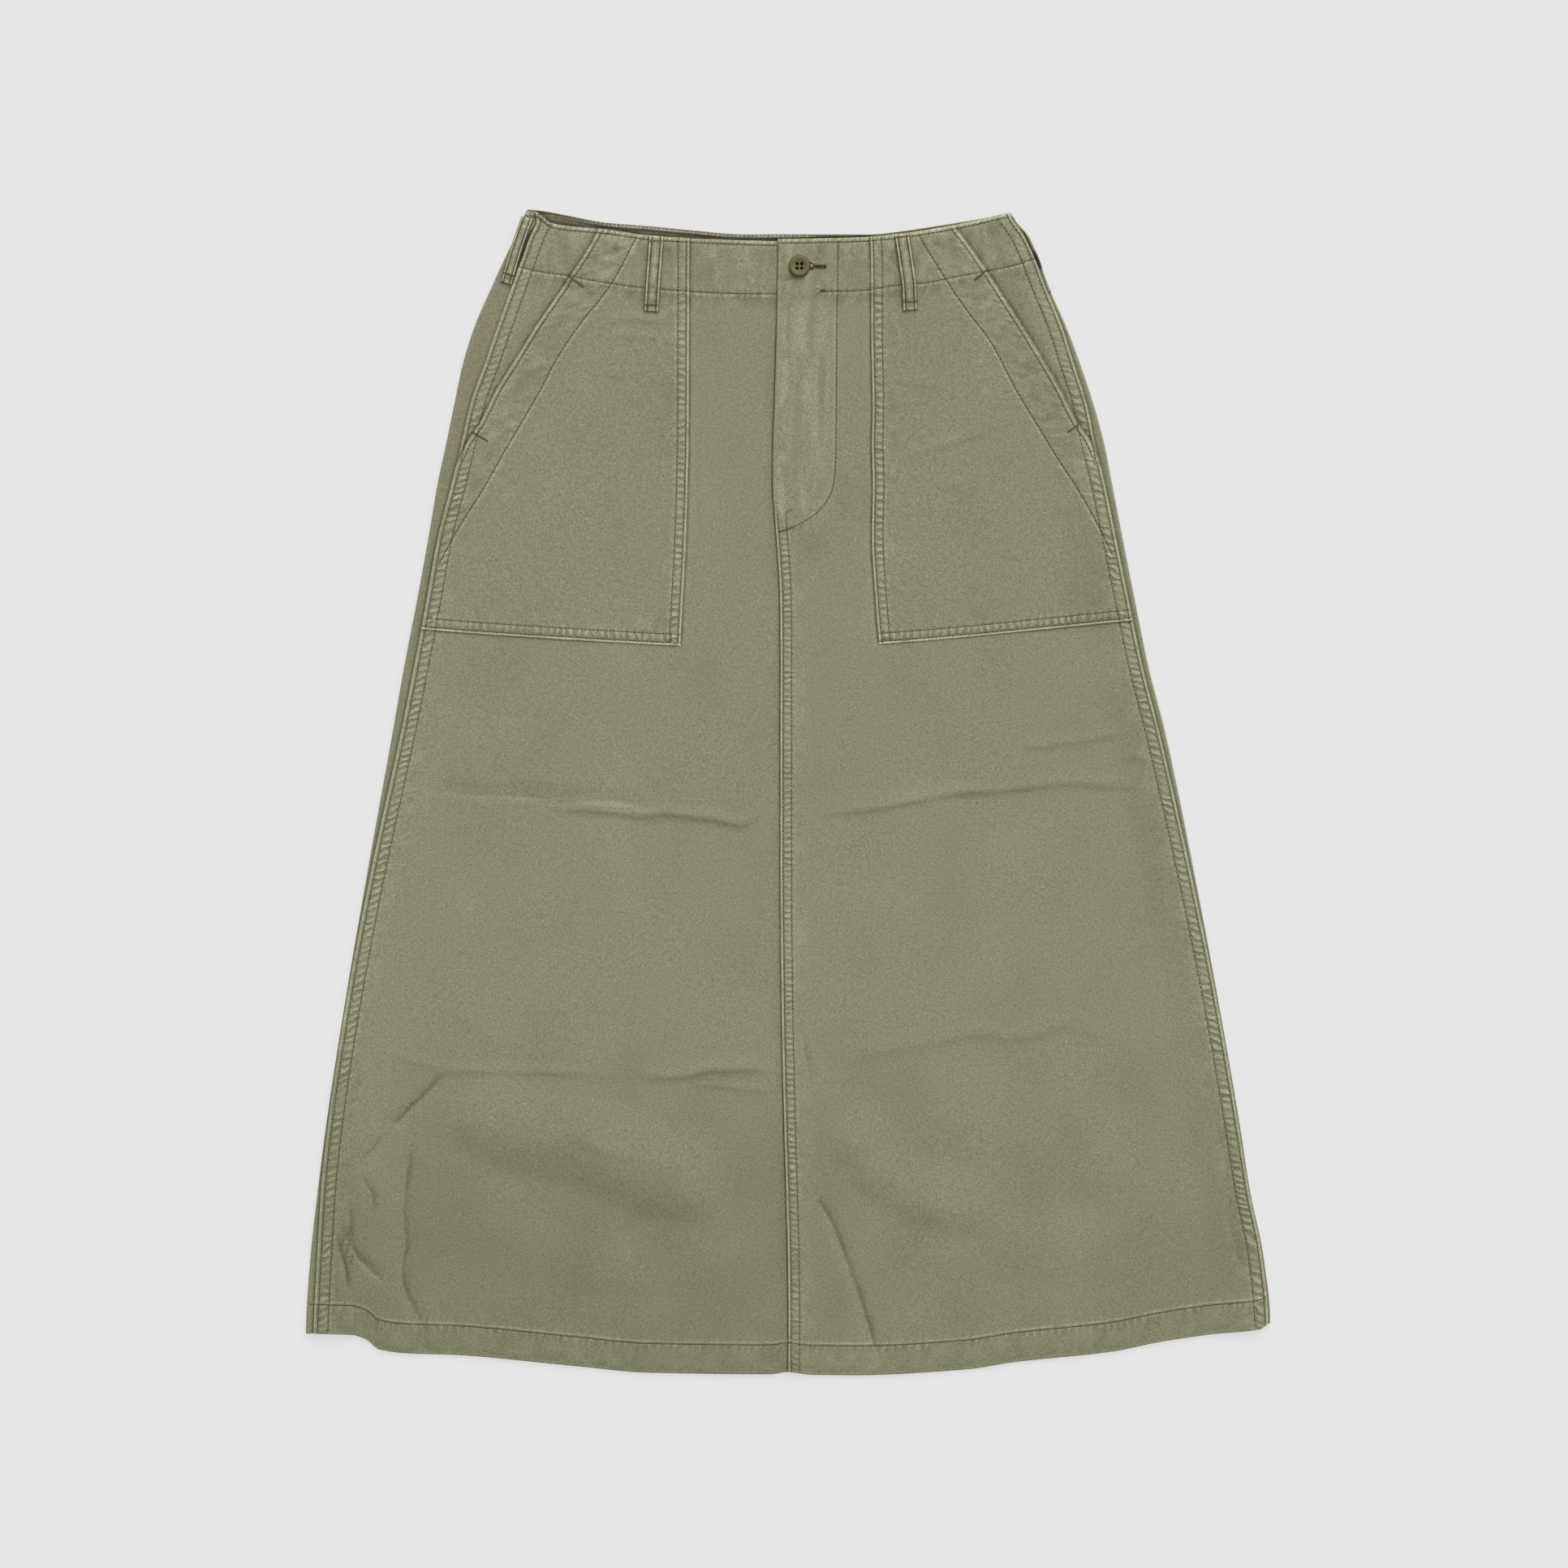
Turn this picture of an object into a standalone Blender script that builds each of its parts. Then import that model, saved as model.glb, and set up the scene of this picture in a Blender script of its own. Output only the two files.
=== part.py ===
"""Cargo utility skirt, laid flat on its back with the front up.

An A-line long skirt in washed cotton: two front panels that lap at a hidden fly, one back panel that
wraps round both side folds to felled seams on the front, two patch pockets with slanted mouths, four
belt loops and one button.  Right and left are the wearer's, so the right side is at -X.

Tables and sizes are in millimetres.  "down" is the distance below the highest point of the waist, and
"x" is the distance from the middle of the hem.  The script's own unit is the metre, +Z up.
"""

import math
from typing import NamedTuple

import bmesh
import bpy
from mathutils import Vector
from mathutils.bvhtree import BVHTree

MM = 0.001

# Driving dimensions, in millimetres.
LENGTH = 891.6          # waist corner to the lowest point of the hem
WALL = 1.2              # cloth, turnings included
GAP = 0.3               # air between two pieces that lie on each other
PLY = WALL + GAP        # what one more layer adds in height
FOLD_RADIUS = 2.0       # outside of the side fold, so the back is 4 mm thick there
SIDE_LAP = 10.0         # the front covers the back's edge by this much in the side seams
CENTRE_LAP = 9.0        # the left front covers the right front by this much
UNDERLAP = 38.0         # grown-on fly underlap of the right front
BAND = 38.0             # waist facing, from the waist edge to its stitch line
HEM = 23.0              # depth of the turned hem
FLY_LENGTH = 222.0      # from the waist edge to the foot of the fly
EASE = 12.0             # length over which a layer comes down off the edge of another
CREASE_HALF = 9.0       # half width of the two crosswise creases
FOLD_TAPER = 0.35       # share of a fold's length over which it rises at each end
UNDERLAP_DROP = 1.2     # the underlap's waist edge stays this far below the left front's
FLY_RISE = 1.4          # the left front's waist edge stands this far above the right front's
HEM_LIFT = 1.5          # the back's hem stays this far above the front's
LOOP_WIDTH = 10.5
LOOP_ARCH = 1.2         # how far a belt loop stands off between its bartacks
SIDE_LOOP_WIDTH = 8.6
BUTTON_RADIUS = 8.2
BUTTON_HOLE_RADIUS = 0.8
BUTTON_HOLE_PITCH = 3.7
BUTTON_SEAT = 0.35      # air under the button
SNAP = 0.05             # a cut this close to a point goes through it

REST = WALL + GAP       # underside of the fronts where they lie on the back
LAP_HEIGHT = 2.0 * FOLD_RADIUS + GAP    # underside of the fronts over the back's turned edge
BAND_HEIGHT = REST + PLY                # underside of the fronts over the waist facing


class Section(NamedTuple):
    """Crosswise places of the lengthwise lines at one level."""

    down: float
    right_edge: float
    right_seam: float
    right_pocket: float
    centre: float
    left_pocket: float
    left_seam: float
    left_edge: float


class WaistPoint(NamedTuple):
    """Depth of the waist edges below the highest point."""

    x: float
    front: float
    back: float


class LevelPoint(NamedTuple):
    """Depth of a crosswise line, and how high it stands as a crease."""

    x: float
    down: float
    height: float = 0.0


class Fold(NamedTuple):
    """A straight soft fold in the front, from one end to the other."""

    name: str
    x_start: float
    down_start: float
    x_end: float
    down_end: float
    half_width: float
    height: float


SECTIONS = [
    #       down  r_edge  r_seam  r_pocket centre l_pocket l_seam  l_edge
    Section(0.0, -199.8, -193.9, -74.9, -7.9, 62.3, 167.6, 168.8),
    Section(10.0, -203.8, -192.0, -74.9, -7.9, 62.4, 172.5, 175.0),
    Section(20.0, -207.9, -196.4, -74.9, -7.9, 62.6, 180.0, 183.4),
    Section(40.0, -217.5, -203.8, -75.0, -7.9, 63.2, 189.4, 192.0),
    Section(60.0, -226.5, -211.0, -75.1, -8.3, 63.4, 197.0, 199.5),
    Section(90.0, -239.5, -221.8, -75.3, -8.8, 63.4, 209.4, 212.8),
    Section(120.0, -248.8, -232.2, -75.4, -9.6, 63.8, 219.0, 224.0),
    Section(150.0, -255.1, -242.9, -75.5, -10.5, 64.4, 228.5, 233.9),
    Section(180.0, -261.3, -249.7, -75.7, -11.6, 63.8, 234.8, 242.0),
    Section(210.0, -267.7, -256.8, -76.3, -11.9, 64.6, 242.0, 247.8),
    Section(250.0, -274.5, -267.1, -77.5, -9.1, 63.9, 250.2, 255.6),
    Section(300.0, -283.6, -276.2, -80.1, -6.2, 66.8, 260.5, 265.5),
    Section(350.0, -293.3, -285.7, -83.0, -5.9, 71.0, 271.1, 275.7),
    Section(400.0, -302.1, -295.6, -87.0, -6.0, 75.0, 283.8, 288.5),
    Section(500.0, -320.1, -317.3, -96.0, -6.0, 84.0, 306.4, 309.2),
    Section(600.0, -337.4, -336.3, -105.0, -5.2, 93.0, 326.9, 328.1),
    Section(700.0, -352.9, -351.4, -114.0, -3.1, 101.0, 344.3, 345.5),
    Section(750.0, -359.3, -356.7, -118.0, -1.6, 106.0, 352.3, 353.2),
    Section(800.0, -364.8, -359.7, -122.0, -0.3, 110.0, 362.2, 363.5),
    Section(850.0, -368.2, -362.2, -126.0, 0.2, 114.0, 366.9, 368.7),
    Section(892.0, -369.0, -363.5, -130.0, 0.0, 118.0, 366.0, 368.0),
]

WAIST = [
    #          x      front  back
    WaistPoint(-200.0, 1.5, 0.0),
    WaistPoint(-194.0, 2.0, 0.6),
    WaistPoint(-188.0, 5.5, 1.2),
    WaistPoint(-181.0, 11.0, 2.4),
    WaistPoint(-170.0, 13.0, 4.5),
    WaistPoint(-140.0, 15.8, 10.2),
    WaistPoint(-104.0, 20.8, 13.2),
    WaistPoint(-75.0, 22.6, 16.0),
    WaistPoint(-32.0, 24.2, 19.3),
    WaistPoint(-8.0, 24.8, 19.0),
    WaistPoint(27.0, 22.8, 19.0),
    WaistPoint(63.0, 21.4, 19.0),
    WaistPoint(86.0, 19.2, 17.0),
    WaistPoint(117.0, 14.3, 12.4),
    WaistPoint(142.0, 9.3, 8.3),
    WaistPoint(169.0, 3.1, 3.1),
]

POCKET_FOOT = [
    #          x      down
    LevelPoint(-280.0, 319.8),
    LevelPoint(-230.0, 323.6),
    LevelPoint(-82.3, 332.3),
    LevelPoint(-6.0, 335.0),
    LevelPoint(70.2, 330.5),
    LevelPoint(263.0, 312.5),
]

UPPER_CREASE = [
    #          x      down   height
    LevelPoint(-312.0, 446.0, 0.0),
    LevelPoint(-258.0, 448.3, 0.5),
    LevelPoint(-193.0, 449.5, 1.0),
    LevelPoint(-127.0, 454.5, 1.7),
    LevelPoint(-105.0, 462.5, 2.1),
    LevelPoint(-51.0, 471.8, 1.5),
    LevelPoint(-23.0, 466.9, 0.8),
    LevelPoint(-6.0, 467.0, 0.3),
    LevelPoint(12.0, 467.5, 0.9),
    LevelPoint(64.0, 457.6, 1.4),
    LevelPoint(135.0, 449.5, 1.6),
    LevelPoint(194.0, 443.3, 1.1),
    LevelPoint(242.0, 439.0, 0.5),
    LevelPoint(300.0, 436.0, 0.0),
]

LOWER_CREASE = [
    #          x      down   height
    LevelPoint(-346.0, 645.0, 0.2),
    LevelPoint(-310.0, 650.4, 0.6),
    LevelPoint(-260.0, 660.3, 1.0),
    LevelPoint(-127.0, 662.2, 1.7),
    LevelPoint(-51.0, 662.2, 2.0),
    LevelPoint(-10.0, 665.3, 1.2),
    LevelPoint(-4.0, 662.0, 0.3),
    LevelPoint(40.0, 649.8, 0.7),
    LevelPoint(88.0, 644.2, 1.2),
    LevelPoint(171.0, 638.0, 1.3),
    LevelPoint(242.0, 631.0, 0.6),
    LevelPoint(336.0, 624.0, 0.0),
]

HEM_LINE = [
    #          x      down
    LevelPoint(-369.0, 859.3),
    LevelPoint(-333.5, 860.6),
    LevelPoint(-322.0, 864.3),
    LevelPoint(-313.0, 871.7),
    LevelPoint(-292.0, 874.8),
    LevelPoint(-255.0, 876.1),
    LevelPoint(-162.0, 884.7),
    LevelPoint(-106.0, 889.7),
    LevelPoint(-13.0, 890.9),
    LevelPoint(0.0, 889.1),
    LevelPoint(20.0, 891.3),
    LevelPoint(52.0, 891.6),
    LevelPoint(136.0, 887.2),
    LevelPoint(173.0, 881.6),
    LevelPoint(247.5, 873.6),
    LevelPoint(285.0, 866.1),
    LevelPoint(322.0, 860.6),
    LevelPoint(360.0, 856.2),
    LevelPoint(368.5, 850.6),
]

FOLDS = [
    #    name                x0      down0  x1      down1  half  height
    Fold("beside_centre_hem", 14.0, 732.0, 92.0, 946.0, 9.0, 2.3),
    Fold("right_slant", -258.0, 650.0, -314.0, 712.0, 8.0, 2.0),
    Fold("right_upright", -293.0, 722.0, -277.0, 872.0, 10.0, 1.7),
    Fold("right_hem_corner", -340.0, 785.0, -307.0, 900.0, 11.0, 1.5),
    Fold("right_broad", -275.0, 672.0, -26.0, 783.0, 24.0, 1.6),
    Fold("left_short", 160.0, 416.0, 260.0, 402.0, 8.0, 1.0),
    Fold("below_fly", 50.0, 214.0, 8.0, 300.0, 14.0, 1.0),
]

# Lengthwise lines across the skirt, from the right fold to the left: a section column and a shift.
LINES = [
    ("right_edge", 0.0),
    ("right_seam", 0.0),
    ("right_seam", SIDE_LAP),
    ("right_seam", SIDE_LAP + EASE),
    ("right_pocket", 0.0),
    ("centre", 0.0),
    ("centre", CENTRE_LAP),
    ("centre", UNDERLAP),
    ("centre", UNDERLAP + EASE),
    ("left_pocket", 0.0),
    ("left_seam", -SIDE_LAP - EASE),
    ("left_seam", -SIDE_LAP),
    ("left_seam", 0.0),
    ("left_edge", 0.0),
]
(RIGHT_FOLD, RIGHT_SEAM, RIGHT_LAP, RIGHT_FLAT, RIGHT_POCKET, CENTRE, OVERLAP, UNDERLAP_EDGE, FLY_FLAT,
 LEFT_POCKET, LEFT_FLAT, LEFT_LAP, LEFT_SEAM, LEFT_FOLD) = range(len(LINES))

# Crosswise lines down the skirt, numbered in order.
(WAIST_EDGE, BAND_STITCH, BAND_FLAT, FLY_FOOT, FOOT, UPPER_ABOVE, UPPER, UPPER_BELOW, LOWER_ABOVE,
 LOWER, LOWER_BELOW, HEM_STITCH, HEM_EDGE) = range(13)

# Number of cloth cells between one line and the next, from each line on.
CELLS_ACROSS = {RIGHT_FOLD: 1, RIGHT_SEAM: 1, RIGHT_LAP: 2, RIGHT_FLAT: 6, RIGHT_POCKET: 4, CENTRE: 1,
                OVERLAP: 2, UNDERLAP_EDGE: 1, FLY_FLAT: 1, LEFT_POCKET: 6, LEFT_FLAT: 2, LEFT_LAP: 1,
                LEFT_SEAM: 1}
CELLS_DOWN = {WAIST_EDGE: 2, BAND_STITCH: 1, BAND_FLAT: 6, FLY_FOOT: 3, FOOT: 4, UPPER_ABOVE: 1,
              UPPER: 1, UPPER_BELOW: 6, LOWER_ABOVE: 1, LOWER: 1, LOWER_BELOW: 7, HEM_STITCH: 1}


# ---------------------------------------------------------------- tables and lines

def read_table(rows, column, at):
    """Smooth value of a table's column between its rows, with no overshoot."""
    keys = [row[0] for row in rows]
    values = [getattr(row, column) for row in rows]
    if at <= keys[0]:
        return values[0]
    if at >= keys[-1]:
        return values[-1]
    slopes = [(values[i + 1] - values[i]) / (keys[i + 1] - keys[i]) for i in range(len(keys) - 1)]
    i = max(k for k in range(len(slopes)) if keys[k] <= at)

    def tangent(k):
        if k == 0 or k == len(slopes):
            return slopes[min(k, len(slopes) - 1)]
        before, after = slopes[k - 1], slopes[k]
        return 0.0 if before * after <= 0.0 else 2.0 * before * after / (before + after)

    span = keys[i + 1] - keys[i]
    t = (at - keys[i]) / span
    start_weight = (1.0 + 2.0 * t) * (1.0 - t) ** 2
    end_weight = t * t * (3.0 - 2.0 * t)
    start_slope = t * (1.0 - t) ** 2 * span * tangent(i)
    end_slope = t * t * (t - 1.0) * span * tangent(i + 1)
    return start_weight * values[i] + end_weight * values[i + 1] + start_slope + end_slope


def blend(low, high, weight):
    """Value between two numbers."""
    return low + (high - low) * weight


def soft_step(t):
    """0 below 0, 1 above 1, and smooth between."""
    t = min(max(t, 0.0), 1.0)
    return t * t * (3.0 - 2.0 * t)


def line_x(line, down):
    """Place of one lengthwise line at a level."""
    column, shift = LINES[line]
    return read_table(SECTIONS, column, down) + shift


def across_x(across, down):
    """Place of a point between two lengthwise lines, such as 4.5, at a level."""
    line = min(int(across), len(LINES) - 2)
    return blend(line_x(line, down), line_x(line + 1, down), across - line)


def level_lines(across, edge="front"):
    """Depths of all the crosswise lines where they cross a lengthwise line."""
    waist = read_table(WAIST, edge, across_x(across, 15.0))
    foot = read_table(POCKET_FOOT, "down", across_x(across, 325.0))
    upper = read_table(UPPER_CREASE, "down", across_x(across, 455.0))
    lower = read_table(LOWER_CREASE, "down", across_x(across, 655.0))
    hem = read_table(HEM_LINE, "down", across_x(across, 872.0))
    return [waist, waist + BAND, waist + BAND + EASE, waist + FLY_LENGTH, foot,
            upper - CREASE_HALF, upper, upper + CREASE_HALF,
            lower - CREASE_HALF, lower, lower + CREASE_HALF, hem - HEM, hem]


def level_down(across, level, edge="front"):
    """Depth of a point between two crosswise lines, such as 3.5."""
    lines = level_lines(across, edge)
    line = min(int(level), len(lines) - 2)
    return blend(lines[line], lines[line + 1], level - line)


def stations(cells, first, last):
    """Evenly spaced numbers between each two lines from the first line to the last."""
    places = [line + step / cells[line] for line in range(first, last) for step in range(cells[line])]
    return places + [float(last)]


# ---------------------------------------------------------------- height of the front's underside

def ridge(distance, half_width):
    """Height share of a soft ridge at a distance from its crest."""
    if abs(distance) >= half_width:
        return 0.0
    return math.cos(0.5 * math.pi * distance / half_width) ** 2


def fold_share(fold, x, down):
    """Height share of a fold at a point, tapered towards both ends."""
    run = Vector((fold.x_end - fold.x_start, fold.down_end - fold.down_start))
    reach = Vector((x - fold.x_start, down - fold.down_start))
    length = run.length
    along = reach.dot(run) / (length * length)
    aside = reach.cross(run) / length
    taper = soft_step(along / FOLD_TAPER) * soft_step((1.0 - along) / FOLD_TAPER)
    return ridge(aside, fold.half_width) * taper


def crease_height(x, down):
    """Height of all creases and folds at a point of the front."""
    height = 0.0
    for crease in (UPPER_CREASE, LOWER_CREASE):
        aside = down - read_table(crease, "down", x)
        height += read_table(crease, "height", x) * ridge(aside, CREASE_HALF)
    for fold in FOLDS:
        height += fold.height * fold_share(fold, x, down)
    return height


def stack_height(across, level, laps_over):
    """Height of the front's underside from what lies below it, without its creases."""
    right = soft_step(RIGHT_FLAT - across)
    left = soft_step(across - LEFT_FLAT)
    side = (LAP_HEIGHT - REST) * max(right, left)
    band = (BAND_HEIGHT - REST) * soft_step(BAND_FLAT - level)
    height = REST + max(side, band)
    if laps_over:
        beside_seam = soft_step((OVERLAP + 0.5 - across) / 0.5)
        over_fly = soft_step(FLY_FLAT - across) * soft_step((FLY_FOOT + 0.34 - level) / 0.34)
        height += PLY * max(beside_seam, over_fly)
    return height


# ---------------------------------------------------------------- cloth

def new_grid(columns, rows):
    """Flat grid with one vertex for each pair of column and row, and its corner lookup."""
    bm = bmesh.new()
    bmesh.ops.create_grid(bm, x_segments=columns - 1, y_segments=rows - 1, size=1.0)
    places = {}
    for vertex in bm.verts:
        column = round((vertex.co.x + 1.0) * 0.5 * (columns - 1))
        row = round((1.0 - vertex.co.y) * 0.5 * (rows - 1))
        places[vertex] = (column, row)
    return bm, places


def cut_fold(bm, fold):
    """Cut a panel along a fold's crest and along both its feet."""
    start = Vector((fold.x_start, LENGTH / 2 - fold.down_start, 0.0)) * MM
    end = Vector((fold.x_end, LENGTH / 2 - fold.down_end, 0.0)) * MM
    along = (end - start).normalized()
    aside = Vector((-along.y, along.x, 0.0))
    length = (end - start).length
    half = fold.half_width * MM

    def meets(face):
        runs = [(v.co - start).dot(along) for v in face.verts]
        offsets = [(v.co - start).dot(aside) for v in face.verts]
        return min(runs) < length and max(runs) > 0.0 and min(offsets) < half and max(offsets) > -half

    for shift in (-half, 0.0, half):
        faces = [face for face in bm.faces if meets(face)]
        edges = {edge for face in faces for edge in face.edges}
        verts = {vert for face in faces for vert in face.verts}
        bmesh.ops.bisect_plane(bm, geom=faces + list(edges) + list(verts), dist=SNAP * MM,
                               plane_co=start + aside * shift, plane_no=aside)


def front_cloth(first_line, last_line, last_level, laps_over, lift):
    """Underside of a piece of the front between two lengthwise lines, as a bmesh of triangles."""
    columns = stations(CELLS_ACROSS, first_line, last_line)
    rows = stations(CELLS_DOWN, WAIST_EDGE, last_level)
    bm, places = new_grid(len(columns), len(rows))
    for vertex, (column, row) in places.items():
        across, level = columns[column], rows[row]
        down = level_down(across, level)
        shift = 0.0
        if level < BAND_STITCH:
            shift = waist_shift(across, laps_over) * (BAND_STITCH - level)
        x = across_x(across, down)
        z = stack_height(across, level, laps_over) + lift
        vertex.co = Vector((x, LENGTH / 2 - down - shift, z)) * MM
    unused = [f for f in bm.faces if not laps_over and beyond_underlap(f, places, columns, rows)]
    bmesh.ops.delete(bm, geom=unused, context="FACES")
    for fold in FOLDS:
        cut_fold(bm, fold)
    cut_faces = [face for face in bm.faces if len(face.verts) > 4]
    diagonals = bmesh.ops.triangulate(bm, faces=cut_faces, ngon_method="BEAUTY")["edges"]
    bmesh.ops.triangulate(bm, faces=bm.faces[:], quad_method="FIXED")
    bmesh.ops.beautify_fill(bm, faces=bm.faces[:], edges=diagonals)
    for vertex in bm.verts:
        x = vertex.co.x / MM
        down = LENGTH / 2 - vertex.co.y / MM
        vertex.co.z += crease_height(x, down) * MM
    return bm


def waist_shift(across, laps_over):
    """How much lower than the table the waist edge of a front lies beside the fly."""
    if laps_over:
        return -FLY_RISE * soft_step(LEFT_POCKET - across)
    return UNDERLAP_DROP * soft_step((across - CENTRE) / 0.5)


def beyond_underlap(face, places, columns, rows):
    """True for a cell of the right front that is below the fly and past the centre seam's lap."""
    corners = [places[vertex] for vertex in face.verts]
    leftmost = min(columns[column] for column, _ in corners)
    highest = min(rows[row] for _, row in corners)
    return leftmost >= OVERLAP and highest >= FLY_FOOT


def cut_mouth(bm, corners, keep_side):
    """Cut a pocket along its slanted mouth and keep the part on one side (-1 or +1 along X)."""
    for (x_high, down_high), (x_low, down_low) in zip(corners, corners[1:]):
        high = Vector((x_high, LENGTH / 2 - down_high, 0.0)) * MM
        run = Vector((x_low, LENGTH / 2 - down_low, 0.0)) * MM - high
        outwards = Vector((run.y, -run.x, 0.0)).normalized()
        if outwards.x * keep_side > 0.0:
            outwards.negate()
        bmesh.ops.bisect_plane(bm, geom=bm.faces[:] + bm.edges[:] + bm.verts[:], dist=SNAP * MM,
                               plane_co=high, plane_no=outwards, clear_outer=True)
    bmesh.ops.triangulate(bm, faces=bm.faces[:], quad_method="FIXED")


def back_profile(across_cells):
    """Stations round the back's outside, from the right lap under the skirt to the left lap.

    Each is (line coordinate, inset from the fold, height, share of the way round to the front).
    """
    arc_steps = 4
    turned = []
    for step in range(arc_steps + 1):
        angle = math.pi * step / arc_steps
        inset = FOLD_RADIUS * (1.0 - math.sin(angle))
        height = FOLD_RADIUS * (1.0 + math.cos(angle))
        turned.append((inset, height, 1.0 - step / arc_steps))
    top = 2.0 * FOLD_RADIUS
    right = [(RIGHT_LAP, 0.0, top, 1.0), (RIGHT_SEAM, 0.0, top, 1.0)]
    right += [(RIGHT_FOLD, inset, height, share) for inset, height, share in turned]
    left = [(LEFT_FOLD, -inset, height, share) for inset, height, share in reversed(turned)]
    left += [(LEFT_SEAM, 0.0, top, 1.0), (LEFT_LAP, 0.0, top, 1.0)]
    bottom = [(across, 0.0, 0.0, 0.0) for across in across_cells]
    return right + bottom + left


def back_point(station, level):
    """Place of one point on the back's outside."""
    across, inset, height, share = station
    down = level_down(across, level, "back")
    if level < BAND_STITCH:
        waist_front = level_lines(across)[0] + GAP
        waist_back = level_lines(across, "back")[0]
        down += (waist_front - waist_back) * share * (BAND_STITCH - level)
    if level > HEM_STITCH:
        down -= HEM_LIFT * (1.0 - share) * (level - HEM_STITCH)
    x = across_x(across, down) + inset
    on_flap = height == 2.0 * FOLD_RADIUS and across in (RIGHT_SEAM, LEFT_SEAM)
    if on_flap:
        edge = line_x(RIGHT_FOLD if across == RIGHT_SEAM else LEFT_FOLD, down)
        inner = line_x(RIGHT_LAP if across == RIGHT_SEAM else LEFT_LAP, down)
        x = 0.5 * (edge + inner)
    return Vector((x, LENGTH / 2 - down, height)) * MM


# ---------------------------------------------------------------- objects

def start_scene():
    """Empty the scene and make the part's collections."""
    for thing in list(bpy.data.objects):
        bpy.data.objects.remove(thing, do_unlink=True)
    part = bpy.data.collections.new("cargo_utility_skirt")
    cutters = bpy.data.collections.new("cutters")
    for collection in (part, cutters):
        bpy.context.scene.collection.children.link(collection)
    return part, cutters


def make_material(name, color, roughness):
    """A plain Principled material."""
    material = bpy.data.materials.new(name)
    material.use_nodes = True
    shader = material.node_tree.nodes["Principled BSDF"]
    shader.inputs["Base Color"].default_value = (*color, 1.0)
    shader.inputs["Roughness"].default_value = roughness
    shader.inputs["Metallic"].default_value = 0.0
    return material


def add_object(collection, name, bm, color, roughness=0.9):
    """Turn a bmesh into a named object with its own material."""
    mesh = bpy.data.meshes.new(name)
    bm.to_mesh(mesh)
    bm.free()
    thing = bpy.data.objects.new(name, mesh)
    thing.data.materials.append(make_material(name + "_finish", color, roughness))
    collection.objects.link(thing)
    return thing


def add_wall(thing, outwards=1.0, even=False):
    """Give an open surface the cloth's thickness."""
    wall = thing.modifiers.new("wall", "SOLIDIFY")
    wall.thickness = WALL * MM
    wall.offset = outwards
    wall.use_even_offset = even


OLIVE = (0.245, 0.250, 0.150)
OLIVE_INSIDE = (0.160, 0.150, 0.095)
OLIVE_WORN = (0.270, 0.275, 0.175)
BUTTON_OLIVE = (0.150, 0.140, 0.080)


def build_fronts(part):
    """Both front panels; returns their undersides as trees for what lies on them."""
    right = front_cloth(RIGHT_SEAM, UNDERLAP_EDGE, HEM_EDGE, False, 0.0)
    left = front_cloth(CENTRE, LEFT_SEAM, HEM_EDGE, True, 0.0)
    left_tree = BVHTree.FromBMesh(left)
    for name, bm in (("front_right", right), ("front_left", left)):
        add_wall(add_object(part, name, bm, OLIVE))
    return left_tree


def build_back(part):
    """The back panel with both side folds and the turned edges under the fronts."""
    stops = back_profile(stations(CELLS_ACROSS, RIGHT_LAP, LEFT_LAP))
    rows = stations(CELLS_DOWN, WAIST_EDGE, HEM_EDGE)
    bm, places = new_grid(len(stops), len(rows))
    for vertex, (column, row) in places.items():
        vertex.co = back_point(stops[column], rows[row])
    bmesh.ops.reverse_faces(bm, faces=bm.faces[:])
    add_wall(add_object(part, "back", bm, OLIVE), outwards=-1.0, even=True)


def build_waist_facing(part):
    """The back's waist facing, a strip on the inside of the back between the side folds."""
    across_stops = stations(CELLS_ACROSS, RIGHT_LAP, LEFT_LAP)
    bm, places = new_grid(len(across_stops), 3)
    for vertex, (column, row) in places.items():
        across = across_stops[column]
        inset = {0: GAP, len(across_stops) - 1: -GAP}.get(column, 0.0)
        down = read_table(WAIST, "back", across_x(across, 15.0)) + 2.0 * GAP + 0.5 * BAND * row
        x = across_x(across, down) + inset
        vertex.co = Vector((x, LENGTH / 2 - down, REST)) * MM
    add_wall(add_object(part, "waist_facing_back", bm, OLIVE_INSIDE))


# Corners of the pocket mouths, from the waist edge down to the side seam: (x, down).
RIGHT_MOUTH = [(-144.9, 16.7), (-191.7, 88.7), (-239.2, 172.4), (-252.8, 196.5)]
LEFT_MOUTH = [(128.5, 14.3), (179.0, 88.7), (221.5, 163.7), (237.6, 191.6)]


def build_pockets(part):
    """Patch pockets on the front panels; returns their undersides as trees for the loops."""
    right = front_cloth(RIGHT_SEAM, RIGHT_POCKET, FOOT, False, PLY)
    cut_mouth(right, RIGHT_MOUTH, 1.0)
    left = front_cloth(LEFT_POCKET, LEFT_SEAM, FOOT, True, PLY)
    cut_mouth(left, LEFT_MOUTH, -1.0)
    trees = (BVHTree.FromBMesh(right), BVHTree.FromBMesh(left))
    for name, bm in (("pocket_right", right), ("pocket_left", left)):
        add_wall(add_object(part, name, bm, OLIVE))
    return trees


def height_on(tree, x, y):
    """Height of a cloth's top at a place, in metres, from the tree of its underside."""
    hit = tree.ray_cast(Vector((x, y, 1.0)), Vector((0.0, 0.0, -1.0)))[0]
    return hit.z + WALL * MM


LOOP_CELLS = 14


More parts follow.
